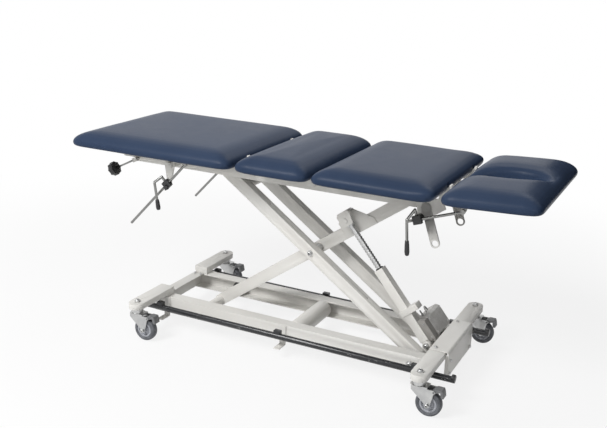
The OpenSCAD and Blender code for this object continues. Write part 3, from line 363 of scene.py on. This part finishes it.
def frozen(piece):
    # the mesh with its modifiers in it
    graph = bpy.context.evaluated_depsgraph_get()
    mesh = bpy.data.meshes.new_from_object(piece.evaluated_get(graph))
    old = piece.data
    piece.modifiers.clear()
    piece.data = mesh
    bpy.data.meshes.remove(old)


# metalwork: every rigid node gets its edges rounded and its own finish

edges = {
    "plain": 0.0012,
    "fine": 0.0005,
    "turned": 0.0003,
    "angle": 32,            # degrees from which an edge is rounded
    "turnedAngle": 35,
    "steps": 2,
    "weld": 0.00001,        # points closer than this are one
    "flat": 0.4,            # degrees up to which neighbouring facets are one face
    "grips": {"head_lever": 0.602},     # height below which a lever is grip
    "fineNodes": ("base_bolts", "pivot_pins", "scissor_pivot", "cable_loops", "actuator_rod", "leg_rods",
                  "head_rods", "pull_rod", "star_knob", "leg_lever", "head_lever", "leg_grip"),
}


def roundEdges(piece, width, angle):
    rounding = piece.modifiers.new("rounding", "BEVEL")
    rounding.width = width
    rounding.segments = edges["steps"]
    rounding.limit_method = "ANGLE"
    rounding.angle_limit = math.radians(angle)
    rounding.harden_normals = True


def softenNode(node):
    source = frame["nodes"][node]
    bm = bmesh.new()
    bm.from_mesh(source.data)
    bmesh.ops.remove_doubles(bm, verts=bm.verts, dist=edges["weld"])
    bmesh.ops.dissolve_limit(bm, angle_limit=math.radians(edges["flat"]), verts=bm.verts, edges=bm.edges)
    piece = addPiece(node + "_finished", meshOf(node, bm), nodeBody[node], nodeSlot[node])
    if node in edges["grips"]:
        # the lower end of the lever wears a plastic grip
        piece.data.materials.append(finishes["gripPlastic"])
        for face in piece.data.polygons:
            face.material_index = int(face.center.z < edges["grips"][node])
    roundEdges(piece, edges["fine"] if node in edges["fineNodes"] else edges["plain"], edges["angle"])
    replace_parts(piece, node)


padNodes = ("leg_pad", "pelvic_pad", "chest_pad", "head_pad")
casters = ("nf", "ff", "nh", "fh")
for node in frame["nodes"]:
    if node not in padNodes and not node.startswith(("caster_tyre", "caster_hub")):
        softenNode(node)
print("metalwork rounded")


# turned parts: wheels, screws, caps

def lathe(bm, profile, place, axis, steps):
    # profile is a closed run of (radius, distance along the axis)
    turn = Vector((0, 0, 1)).rotation_difference(Vector(axis)).to_matrix()
    loops = []
    for radius, height in profile:
        loop = []
        for step in range(steps):
            angle = 2 * math.pi * step / steps
            point = Vector((radius * math.cos(angle), radius * math.sin(angle), height))
            loop.append(bm.verts.new(Vector(place) + turn @ point))
        loops.append(loop)
    for low, high in zip(loops, loops[1:] + loops[:1]):
        for i in range(steps):
            j = (i + 1) % steps
            bm.faces.new((low[i], low[j], high[j], high[i]))


def turned(name, parts, body, slot, finish=None, smooth=True):
    bm = bmesh.new()
    for part in parts:
        lathe(bm, *part)
    bmesh.ops.recalc_face_normals(bm, faces=bm.faces)
    piece = addPiece(name, meshOf(name, bm), body, slot, finish, smooth)
    if smooth:
        roundEdges(piece, edges["turned"], edges["turnedAngle"])
    return piece


turnedSizes = {
    "hair": 0.0004,         # radius left open on the axis
    "panRise": 0.62,        # height of a screw head over its radius
    "hubBore": 0.0045,
    "axleHead": 0.0075,
    "stemLength": 0.02,     # a bolt that stands higher than this is a caster stem
    "stemHead": 0.0095,
    "screwShare": 0.62,     # radius of a cover screw's head over the width of its solid
    "pinShare": 0.36,
    "middleHead": 0.0085,
    "capOver": 0.0014,      # how far a foot bar's cap stands out around the bar
    "capLong": 0.014,
    "capWall": 0.001,
    "tyreSteps": 72,        # steps round a turned form
    "hubSteps": 60,
    "capSteps": 40,
    "headSteps": 28,
    "socketSteps": 6,       # hexagon
}


def mirrored(profile):
    return profile + [(radius, -height) for radius, height in reversed(profile)]


def tyreProfile(inner, outer, half):
    return mirrored([
        (inner, half * 0.86), (inner + 0.0012, half * 0.93), (outer * 0.83, half), (outer * 0.865, half),
        (outer * 0.875, half * 0.93), (outer * 0.93, half * 0.87), (outer * 0.965, half * 0.76),
        (outer * 0.99, half * 0.55), (outer, half * 0.3), (outer, half * 0.1)])


def hubProfile(outer, half):
    bore = turnedSizes["hubBore"]
    return mirrored([(bore, half * 0.98), (bore + 0.006, half * 0.98), (bore + 0.0068, half * 0.9),
                     (bore + 0.0072, half * 0.5), (outer * 0.5, half * 0.36), (outer * 0.72, half * 0.36),
                     (outer * 0.76, half * 0.7), (outer * 0.8, half * 0.86), (outer * 0.9, half * 0.9),
                     (outer, half * 0.84)])


def panProfile(radius):
    hair = turnedSizes["hair"]
    rise = radius * turnedSizes["panRise"]
    return [
        (hair, 0), (radius, 0), (radius, rise * 0.35), (radius * 0.92, rise * 0.66),
        (radius * 0.72, rise * 0.9), (radius * 0.5, rise), (radius * 0.44, rise * 0.94),
        (radius * 0.4, rise * 0.4), (hair, rise * 0.36)]


# a dark hexagon that sits in a screw head's recess: painted shade in the socket
def recessShadeProfile(radius):
    hair = turnedSizes["hair"]
    rise = radius * turnedSizes["panRise"]
    socket = radius * 0.39
    return [(hair, rise * 0.37), (socket, rise * 0.42), (socket, rise * 0.5), (hair, rise * 0.46)]


def screwSet(name, places, body, slot):
    # each place is (middle, direction outwards, radius)
    headSteps, socketSteps = turnedSizes["headSteps"], turnedSizes["socketSteps"]
    heads = [(panProfile(radius), place, axis, headSteps) for place, axis, radius in places]
    # dark hexagons in the heads' recesses: painted shade, drawn with the black cast finish
    recessShades = [(recessShadeProfile(radius), place, axis, socketSteps) for place, axis, radius in places]
    turned(name, heads, body, slot)
    turned(name + "_recess_shade", recessShades, body, slot, "castBlackAndShade", False)


def islandBoxes(node):
    # boxes of the separate solids in a node
    bm = bmesh.new()
    bm.from_mesh(frame["nodes"][node].data)
    bmesh.ops.remove_doubles(bm, verts=bm.verts, dist=edges["weld"])
    seen = set()
    boxes = []
    for first in bm.verts:
        if first in seen:
            continue
        stack = [first]
        seen.add(first)
        points = []
        while stack:
            vertex = stack.pop()
            points.append(vertex.co.copy())
            for edge in vertex.link_edges:
                other = edge.other_vert(vertex)
                if other not in seen:
                    seen.add(other)
                    stack.append(other)
        boxes.append((Vector(min(p[i] for p in points) for i in range(3)),
                      Vector(max(p[i] for p in points) for i in range(3))))
    bm.free()
    return boxes


def boxOf(node):
    low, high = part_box(node)
    return Vector(low), Vector(high)


for corner in casters:
    tyre, hub, fork = ("caster_" + part + "_" + corner for part in ("tyre", "hub", "fork"))
    tyreLow, tyreHigh = boxOf(tyre)
    hubLow, hubHigh = boxOf(hub)
    forkLow, forkHigh = boxOf(fork)
    centre = (tyreLow + tyreHigh) / 2
    rim = (hubHigh.x - hubLow.x) / 2
    tread = (tyreHigh.x - tyreLow.x) / 2
    half = (tyreHigh.y - tyreLow.y) / 2
    for node, profile, steps in ((tyre, tyreProfile(rim, tread, half), turnedSizes["tyreSteps"]),
                                 (hub, hubProfile(rim, half), turnedSizes["hubSteps"])):
        wheelPart = [(profile, centre, (0, 1, 0), steps)]
        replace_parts(turned(node + "_moulded", wheelPart, nodeBody[node], nodeSlot[node]), node)
    heads = []
    for side in nearFar:
        face = forkLow.y if side < 0 else forkHigh.y
        heads.append(((centre.x, face, centre.z), (0, side, 0), turnedSizes["axleHead"]))
    screwSet(fork + "_axle", heads, nodeBody[fork], nodeSlot[fork])

# base bolts: stems and the cover's screws point up, the foot end plate's screws point along x
screws = []
for low, high in islandBoxes("base_bolts"):
    size = high - low
    middle = (low + high) / 2
    if size.z > turnedSizes["stemLength"]:
        screws.append(((middle.x, middle.y, high.z), (0, 0, 1), turnedSizes["stemHead"]))
    elif size.x < min(size.y, size.z):
        screws.append(((high.x, middle.y, middle.z), (1, 0, 0), size.y * turnedSizes["screwShare"]))
    else:
        screws.append(((middle.x, middle.y, high.z), (0, 0, 1), size.x * turnedSizes["screwShare"]))
screwSet("base_screw_heads", screws, nodeBody["base_bolts"], nodeSlot["base_bolts"])

for bar in ("foot_bar_near", "foot_bar_far"):
    low, high = boxOf(bar)
    middle = (low + high) / 2
    radius = (high.y - low.y) / 2
    over = radius + turnedSizes["capOver"]
    long = turnedSizes["capLong"]
    hair = turnedSizes["hair"]
    cap = [(radius - turnedSizes["capWall"], 0), (over, 0), (over, long * 0.7), (over * 0.93, long * 0.9),
           (over * 0.78, long), (over * 0.5, long * 1.02), (hair, long * 1.02), (hair, long * 0.4)]
    steps = turnedSizes["capSteps"]
    ends = [(cap, (high.x - long * 0.9, middle.y, middle.z), (1, 0, 0), steps),
            (cap, (low.x + long * 0.9, middle.y, middle.z), (-1, 0, 0), steps)]
    turned(bar + "_caps", ends, nodeBody[bar], nodeSlot[bar], "gripPlastic")

pinHeads = []
for low, high in islandBoxes("pivot_pins"):
    middle = (low + high) / 2
    side = 1 if middle.y > 0 else -1
    radius = min(high.x - low.x, high.z - low.z) * turnedSizes["pinShare"]
    pinHeads.append(((middle.x, high.y if side > 0 else low.y, middle.z), (0, side, 0), radius))
screwSet("pin_heads", pinHeads, nodeBody["pivot_pins"], nodeSlot["pivot_pins"])
low, high = boxOf("scissor_pivot")
middle = (low + high) / 2
middleHeads = [((middle.x, high.y if side > 0 else low.y, middle.z), (0, side, 0), turnedSizes["middleHead"])
               for side in nearFar]
screwSet("middle_pivot_heads", middleHeads, nodeBody["scissor_pivot"], nodeSlot["scissor_pivot"])

actuator = {
    "foot": (0.548, -0.043, 0.130),
    "angle": 129.7,
    "tube": 0.352,          # length of the outer tube from the lower pin
    "rod": 0.012,
    "boxFace": 0.050,       # height of the box's face above the tube's middle
    "boxFrom": 0.018,
    "boxTo": 0.086,
    "boxNear": 0.032,
    "boxFar": 0.156,
    "boxInset": 0.006,      # how far the upper screws stand in from the box's end
    "boxScrew": 0.0042,
    "motorSide": 0.019,
    "motorMiddle": 0.038,   # height of the motor's screws above the tube's middle
    "motorInset": 0.008,
    "motorScrew": 0.0038,
    "wiperSink": 0.0005,
}


def onActuator(along, across, above):
    angle = math.radians(actuator["angle"])
    return Vector(actuator["foot"]) + Vector((along * math.cos(angle) + above * math.sin(angle), across,
                                              along * math.sin(angle) - above * math.cos(angle)))


tubeWay = onActuator(1, 0, 0) - onActuator(0, 0, 0)
faceWay = onActuator(0, 0, 1) - onActuator(0, 0, 0)
rod = actuator["rod"]
wiper = [(rod + 0.0003, 0), (rod + 0.0045, 0), (rod + 0.0045, 0.003), (rod + 0.003, 0.0045),
         (rod + 0.0009, 0.006), (rod + 0.0003, 0.006)]
wiperPlace = onActuator(actuator["tube"] - actuator["wiperSink"], 0, 0)
turned("rod_wiper", [(wiper, wiperPlace, tubeWay, turnedSizes["capSteps"])],
       nodeBody["actuator_tube"], nodeSlot["actuator_tube"], "gripPlastic")
boxHeads = [(onActuator(along, across, actuator["boxFace"]), faceWay, actuator["boxScrew"])
            for along in (actuator["boxFrom"], actuator["boxTo"] - actuator["boxInset"])
            for across in (actuator["boxNear"], actuator["boxFar"])]
screwSet("box_screws", boxHeads, nodeBody["control_box"], nodeSlot["control_box"])
motorHeads = [(onActuator(along, -actuator["motorSide"], actuator["motorMiddle"]), (0, -1, 0),
               actuator["motorScrew"])
              for along in (actuator["boxFrom"], actuator["boxTo"] - actuator["motorInset"])]
screwSet("motor_screws", motorHeads, nodeBody["motor_housing"], nodeSlot["base_bolts"])
print("wheels and screws made")


# pads

pads = {
    "endRoll": 0.105,       # how far the top rolls off towards the ends
    "sideRoll": 0.08,
    "power": 4.6,           # squareness of the corners in plan
    "cornerSteps": 10,
    "rollSteps": 11,
    "rollEnd": 0.6,         # steps still to go at the last ring of the roll-off
    "underSteps": 5,
    "topShares": (0.8, 0.55, 0.3, 0.12),
    "drawIn": 0.012,        # how far the cover turns under the board
    "rollPower": 0.57,      # 0.5 is an ellipse, more is a steadier slope
    "rollStart": 2.4,       # 2 is an ellipse, more starts the roll-off more softly
    "belly": 0.3,           # height of the widest line as a share of the thickness
    "crown": {"leg_pad": 0.002, "pelvic_pad": 0.009, "chest_pad": 0.002, "head_pad": 0.009},
    "sink": 0.008,          # how deep the surface sinks round the face opening
    "sinkReach": 0.5,
    "voxel": 0.007,
    "held": 0.006,          # cover this close to the board doesn't move
    "pressure": 4.0,
    "stiffness": 30,
    "frames": 20,
    "cap": 0.003,           # most that the cover may swell
    "evening": 40,
    "smoothing": 10,
    "fairing": (0.5, -0.52),    # a step in and a step back out, so that the form doesn't shrink
    "startSide": 0.0009,    # how much smaller than the solid a pad starts, before it swells
    "startEnd": 0.00036,
    "fill": 0.95,
    "tilt": 2.5,            # degrees that the head section is up at rest
    "hinge": (0.620, 0.816),
    "headX": (0.626, 0.984),    # the head pad while it lies level
    "headZ": (0.785, 0.847),
    "slotX": (0.573, 0.635),
    "slotY": (0.145, 0.174),
    "slotTop": 0.824,
    "slotBelow": 0.01,
    "openingX": 0.789,
    "openingA": 0.134,
    "openingB": 0.074,
    "openingLow": 0.006,    # lowest that the lip's roll comes above the underside
    "rim": 0.024,
    "rimRings": (0, 0.02, 0.05, 0.09, 0.14, 0.2, 0.28, 0.38, 0.5, 0.63, 0.76, 0.89, 1),
    "lipDegrees": (68, 45, 22, 0),
    "boardEdge": 0.03,
    "boardDeep": 0.002,
    "boardShow": 0.0008,
}


def rollRing(pad, share):
    # rounded rectangle in plan: share is the part of the roll-off still to come
    ring = []
    for quarter in range(4):
        signX = 1 if quarter in (0, 3) else -1
        signY = 1 if quarter < 2 else -1
        for step in range(pads["cornerSteps"] + 1):
            angle = math.pi / 2 * step / pads["cornerSteps"]
            along = abs(math.cos(angle)) ** (2 / pads["power"])
            across = abs(math.sin(angle)) ** (2 / pads["power"])
            if quarter % 2:
                along, across = across, along
            ring.append((pad["middle"] + signX * (pad["halfX"] - pads["endRoll"] * (1 - share * along)),
                         signY * (pad["halfY"] - pads["sideRoll"] * (1 - share * across))))
    return ring


def bellyAt(pad, x):
    # the widest height is low, but rises to half where the head section swings under
    share = pads["belly"]
    if pad["bullnose"]:
        near = max(0, 1 - (pad["middle"] + pad["halfX"] - x) / pads["endRoll"])
        share += (0.5 - share) * near * near * (3 - 2 * near)
    return pad["low"] + share * (pad["high"] - pad["low"])


def heightAt(pad, x, y):
    away = abs(x - pad["middle"])
    along = max(0, 1 - (pad["halfX"] - away) / pads["endRoll"])
    across = max(0, 1 - (pad["halfY"] - abs(y)) / pads["sideRoll"])
    share = (along ** pads["power"] + across ** pads["power"]) ** (1 / pads["power"])
    dome = pad["crown"] * (1 - (away / pad["halfX"]) ** 2) * (1 - (y / pad["halfY"]) ** 2)
    belly = bellyAt(pad, x)
    return belly + (pad["high"] - belly) * max(0, 1 - share ** pads["rollStart"]) ** pads["rollPower"] + dome


def underRings(pad):
    rings = []
    outer = rollRing(pad, 1)
    for step in range(pads["underSteps"]):
        angle = math.radians(90 * (step / pads["underSteps"] - 1))
        bend = 1 - math.cos(angle)
        ring = []
        for x, y in outer:
            belly = bellyAt(pad, x)
            drawIn = pads["drawIn"]
            if pad["bullnose"] and x > pad["middle"]:
                drawIn = belly - pad["low"]
            ring.append((x - drawIn * bend * (x - pad["middle"]) / pad["halfX"],
                         y - pads["drawIn"] * bend * y / pad["halfY"],
                         belly + (belly - pad["low"]) * math.sin(angle)))
        rings.append(ring)
    return rings


def plainPad(pad):
    rings = underRings(pad)
    for step in range(pads["rollSteps"] + 1):
        share = math.cos(math.pi / 2 * step / (pads["rollSteps"] + pads["rollEnd"]))
        rings.append([(x, y, heightAt(pad, x, y)) for x, y in rollRing(pad, share)])
    inner = rings[-1]
    for inward in pads["topShares"]:
        ring = [(pad["middle"] + (x - pad["middle"]) * inward, y * inward) for x, y, z in inner]
        rings.append([(x, y, heightAt(pad, x, y)) for x, y in ring])
    return loftMesh(pad["name"], rings)


def ovalRing(grow):
    ring = []
    for quarter in range(4):
        for step in range(pads["cornerSteps"] + 1):
            angle = math.pi / 2 * (quarter + step / pads["cornerSteps"])
            ring.append((pads["openingX"] + (pads["openingA"] + grow) * math.cos(angle),
                         (pads["openingB"] + grow) * math.sin(angle)))
    return ring


def facePad(pad):
    def sunkHeight(x, y):
        # the surface sinks softly towards the opening
        far = math.hypot((x - pads["openingX"]) / pads["openingA"], y / pads["openingB"])
        return heightAt(pad, x, y) - pads["sink"] * math.exp(-((far - 1) / pads["sinkReach"]) ** 2)

    rings = underRings(pad)
    outer = rollRing(pad, 1)
    rim = pads["rim"]
    lip = ovalRing(rim)
    for share in pads["rimRings"]:
        ring = [(a[0] + (b[0] - a[0]) * share, a[1] + (b[1] - a[1]) * share) for a, b in zip(outer, lip)]
        rings.append([(x, y, sunkHeight(x, y) if share else bellyAt(pad, x)) for x, y in ring])
    floor = pad["low"] + pads["openingLow"]
    for degrees in pads["lipDegrees"]:
        angle = math.radians(degrees)
        rings.append([(x, y, max(sunkHeight(*edge) - rim * (1 - math.sin(angle)), floor))
                      for (x, y), edge in zip(ovalRing(rim * (1 - math.cos(angle))), lip)])
    for grow, above in ((0, 0.004), (0.006, 0)):
        rings.append([(x, y, pad["low"] + above) for x, y in ovalRing(grow)])
    return loftMesh(pad["name"], rings, True)


def swell(piece, low):
    # foam under a stretched cover: cloth under slight pressure, held at the board
    remesh = piece.modifiers.new("remesh", "REMESH")
    remesh.mode = "VOXEL"
    remesh.voxel_size = pads["voxel"]
    frozen(piece)
    mesh = piece.data
    start = [vertex.co.copy() for vertex in mesh.vertices]
    held = piece.vertex_groups.new(name="held")
    held.add([v.index for v in mesh.vertices if v.co.z < low + pads["held"]], 1.0, "REPLACE")
    cloth = piece.modifiers.new("cloth", "CLOTH")
    cloth.settings.use_pressure = True
    cloth.settings.uniform_pressure_force = pads["pressure"]
    cloth.settings.tension_stiffness = pads["stiffness"]
    cloth.settings.compression_stiffness = pads["stiffness"]
    cloth.settings.effector_weights.gravity = 0
    cloth.settings.vertex_group_mass = "held"
    scene = bpy.context.scene
    for number in range(1, pads["frames"] + 1):
        scene.frame_set(number)
    graph = bpy.context.evaluated_depsgraph_get()
    moved = [vertex.co.copy() for vertex in piece.evaluated_get(graph).data.vertices]
    piece.modifiers.clear()
    steps = [b - a for a, b in zip(start, moved)]
    steps = [step * min(1, pads["cap"] / max(step.length, 1e-9)) for step in steps]
    # the swelling alone is evened out, so that no small buckles stay and the form doesn't shrink
    around = [[] for vertex in mesh.vertices]
    for edge in mesh.edges:
        one, other = edge.vertices
        around[one].append(other)
        around[other].append(one)
    for number in range(pads["evening"]):
        steps = [sum((steps[k] for k in near), steps[i]) / (len(near) + 1)
                 for i, near in enumerate(around)]
    for vertex, a, step in zip(mesh.vertices, start, steps):
        vertex.co = a + step
    scene.frame_set(1)


def fair(piece):
    for number in range(pads["smoothing"]):
        for factor in pads["fairing"]:
            fairing = piece.modifiers.new("fairing", "SMOOTH")
            fairing.iterations = 1
            fairing.factor = factor
    frozen(piece)


def cutSlots(piece, low):
    # two slots that the ears of the head section's hinges swing into
    x0, x1 = pads["slotX"]
    for side in nearFar:
        y0, y1 = sorted(side * y for y in pads["slotY"])
        outline = ((x0, y0), (x1, y0), (x1, y1), (x0, y1))
        rings = [[(x, y, z) for x, y in outline] for z in (low - pads["slotBelow"], pads["slotTop"])]
        cutter = bpy.data.objects.new("slotCutter", loftMesh("slotCutter", rings))
        bpy.context.scene.collection.objects.link(cutter)
        cut = piece.modifiers.new("slot", "BOOLEAN")
        cut.operation = "DIFFERENCE"
        cut.solver = "EXACT"
        cut.object = cutter
        frozen(piece)
        bpy.data.objects.remove(cutter)


def makePad(node):
    low, high = boxOf(node)
    hasFace = node == "head_pad"
    if hasFace:
        (low.x, high.x), (low.z, high.z) = pads["headX"], pads["headZ"]
    pad = {"name": node, "low": low.z, "high": high.z, "crown": pads["crown"][node],
           "bullnose": node == "chest_pad", "middle": (low.x + high.x) / 2,
           "halfX": (high.x - low.x) / 2 - pads["startEnd"], "halfY": high.y - pads["startSide"]}
    mesh = facePad(pad) if hasFace else plainPad(pad)
    piece = addPiece(node + "_vinyl", mesh, nodeBody[node], nodeSlot[node])
    swell(piece, low.z)
    fair(piece)
    finer = piece.modifiers.new("finer", "SUBSURF")
    finer.levels = 1
    finer.render_levels = 1
    frozen(piece)
    if node == "chest_pad":
        cutSlots(piece, low.z)
    if hasFace:
        hinge = Vector((pads["hinge"][0], 0, pads["hinge"][1]))
        turn = Matrix.Translation(hinge) @ Matrix.Rotation(-math.radians(pads["tilt"]), 4, "Y")
        piece.data.transform(turn @ Matrix.Translation(-hinge))
    for face in piece.data.polygons:
        face.use_smooth = True
    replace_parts(piece, node)


def makeBoard(node):
    # dust cloth stretched over the plywood underneath
    low, high = boxOf(node)
    edge = pads["boardEdge"]
    pad = {"middle": (low.x + high.x) / 2, "halfX": (high.x - low.x) / 2 - edge, "halfY": high.y - edge}
    outline = rollRing(pad, 1)
    rings = [[(x, y, z) for x, y in outline]
             for z in (low.z + pads["boardDeep"], low.z - pads["boardShow"])]
    board = loftMesh(node + "_board", rings)
    addPiece(node + "_board", board, nodeBody[node], nodeSlot[node], "boardCloth")


for node in padNodes:
    makePad(node)
    if node != "head_pad":
        makeBoard(node)
    print("pad made:", node)


# studio: pale floor, soft light

studio = {
    "floor": 30.0,          # metres from the middle to the edge
    "aim": (0, 0, 0.5),
    "ambient": 0.45,
    "floorGlow": 0.82,      # share of plain white in the floor that the camera sees
    "glowNear": 1.3,        # metres from the middle where that share starts to grow
    "glowFar": 3.2,
    "lamps": (
        # name, place, size, watts
        ("key", (-1.5, -3.2, 3.5), 1.8, 162),
        ("fill", (2.5, -3.3, 2.5), 0.8, 13),
        ("rear", (0.3, 3.2, 4.6), 2.0, 22),
    ),
    "cards": (
        # name, place, width, height, turn
        ("cardHead", (2.7, 0.2, 0.3), 3.0, 2.6, 80),
        ("cardBack", (1.9, 2.9, 0.2), 4.4, 3.0, -40),
    ),
}


def seenShare(tree):
    # 1 for what the camera, metal and glass see, 0 for light that bounces on
    path = tree.nodes.new("ShaderNodeLightPath")
    share = path.outputs["Is Camera Ray"]
    for kind in ("Is Glossy Ray", "Is Transmission Ray"):
        most = tree.nodes.new("ShaderNodeMath")
        most.operation = "MAXIMUM"
        tree.links.new(share, most.inputs[0])
        tree.links.new(path.outputs[kind], most.inputs[1])
        share = most.outputs[0]
    return share


def blendShaders(tree, share, first, second):
    blend = tree.nodes.new("ShaderNodeMixShader")
    tree.links.new(share, blend.inputs[0])
    tree.links.new(first.outputs[0], blend.inputs[1])
    tree.links.new(second.outputs[0], blend.inputs[2])
    return blend


def paperFloor():
    floorPaper = Finish("floorPaper")
    tree = floorPaper.tree
    floorPaper.surface((0.8, 0.8, 0.8), 0.95)
    spot = floorPaper.node("ShaderNodeTexCoord", output="Object")
    distance = floorPaper.node("ShaderNodeVectorMath", {"operation": "LENGTH"}, {0: spot}, "Value")
    glow = floorPaper.band(distance, studio["glowNear"], studio["glowFar"])
    glow = glow * (1 - studio["floorGlow"]) + studio["floorGlow"]
    white = tree.nodes.new("ShaderNodeEmission")
    share = glow * Wire(floorPaper, seenShare(tree))
    blend = blendShaders(tree, share.socket, floorPaper.shader, white)
    ending = next(node for node in tree.nodes if node.type == "OUTPUT_MATERIAL")
    tree.links.new(blend.outputs[0], ending.inputs[0])
    return floorPaper.material


def cardBlack():
    card = Finish("cardBlack")
    card.surface(card.mix(card.noise(40, 2), (0.01, 0.01, 0.01), (0.014, 0.014, 0.014)), 0.9)
    return card.material


def stagePlane(name, corners, material):
    mesh = bpy.data.meshes.new(name)
    mesh.from_pydata(corners, [], [tuple(range(len(corners)))])
    plane = bpy.data.objects.new(name, mesh)
    bpy.context.scene.collection.objects.link(plane)
    mesh.materials.append(material)
    return plane


def buildStudio():
    world = bpy.data.worlds.new("room")
    bpy.context.scene.world = world
    world.use_nodes = True
    tree = world.node_tree
    tree.nodes.clear()
    ambient = tree.nodes.new("ShaderNodeBackground")
    white = tree.nodes.new("ShaderNodeBackground")
    ending = tree.nodes.new("ShaderNodeOutputWorld")
    tree.links.new(blendShaders(tree, seenShare(tree), ambient, white).outputs[0], ending.inputs[0])
    for background, strength in ((ambient, studio["ambient"]), (white, 1.0)):
        background.inputs[0].default_value = (1, 1, 1, 1)
        background.inputs[1].default_value = strength

    size = studio["floor"]
    corners = [(-size, -size, 0), (size, -size, 0), (size, size, 0), (-size, size, 0)]
    stagePlane("floor", corners, paperFloor())

    for name, place, width, watts in studio["lamps"]:
        lamp = bpy.data.lights.new(name, "AREA")
        lamp.shape = "DISK"
        lamp.size = width
        lamp.energy = watts
        holder = bpy.data.objects.new(name, lamp)
        holder.location = place
        holder.rotation_mode = "QUATERNION"
        holder.rotation_quaternion = (Vector(place) - Vector(studio["aim"])).to_track_quat("Z", "Y")
        bpy.context.scene.collection.objects.link(holder)

    for name, place, width, height, turn in studio["cards"]:
        # dark cards beside the set: they give metal and vinyl their dark sides
        half = width / 2
        corners = [(-half, 0, 0), (half, 0, 0), (half, 0, height), (-half, 0, height)]
        card = stagePlane(name, corners, cardBlack())
        card.location = place
        card.rotation_euler = (0, 0, math.radians(turn))
        card.visible_camera = False
        card.visible_shadow = False


buildStudio()
bpy.context.scene.view_settings.view_transform = "Standard"
print("studio lit")
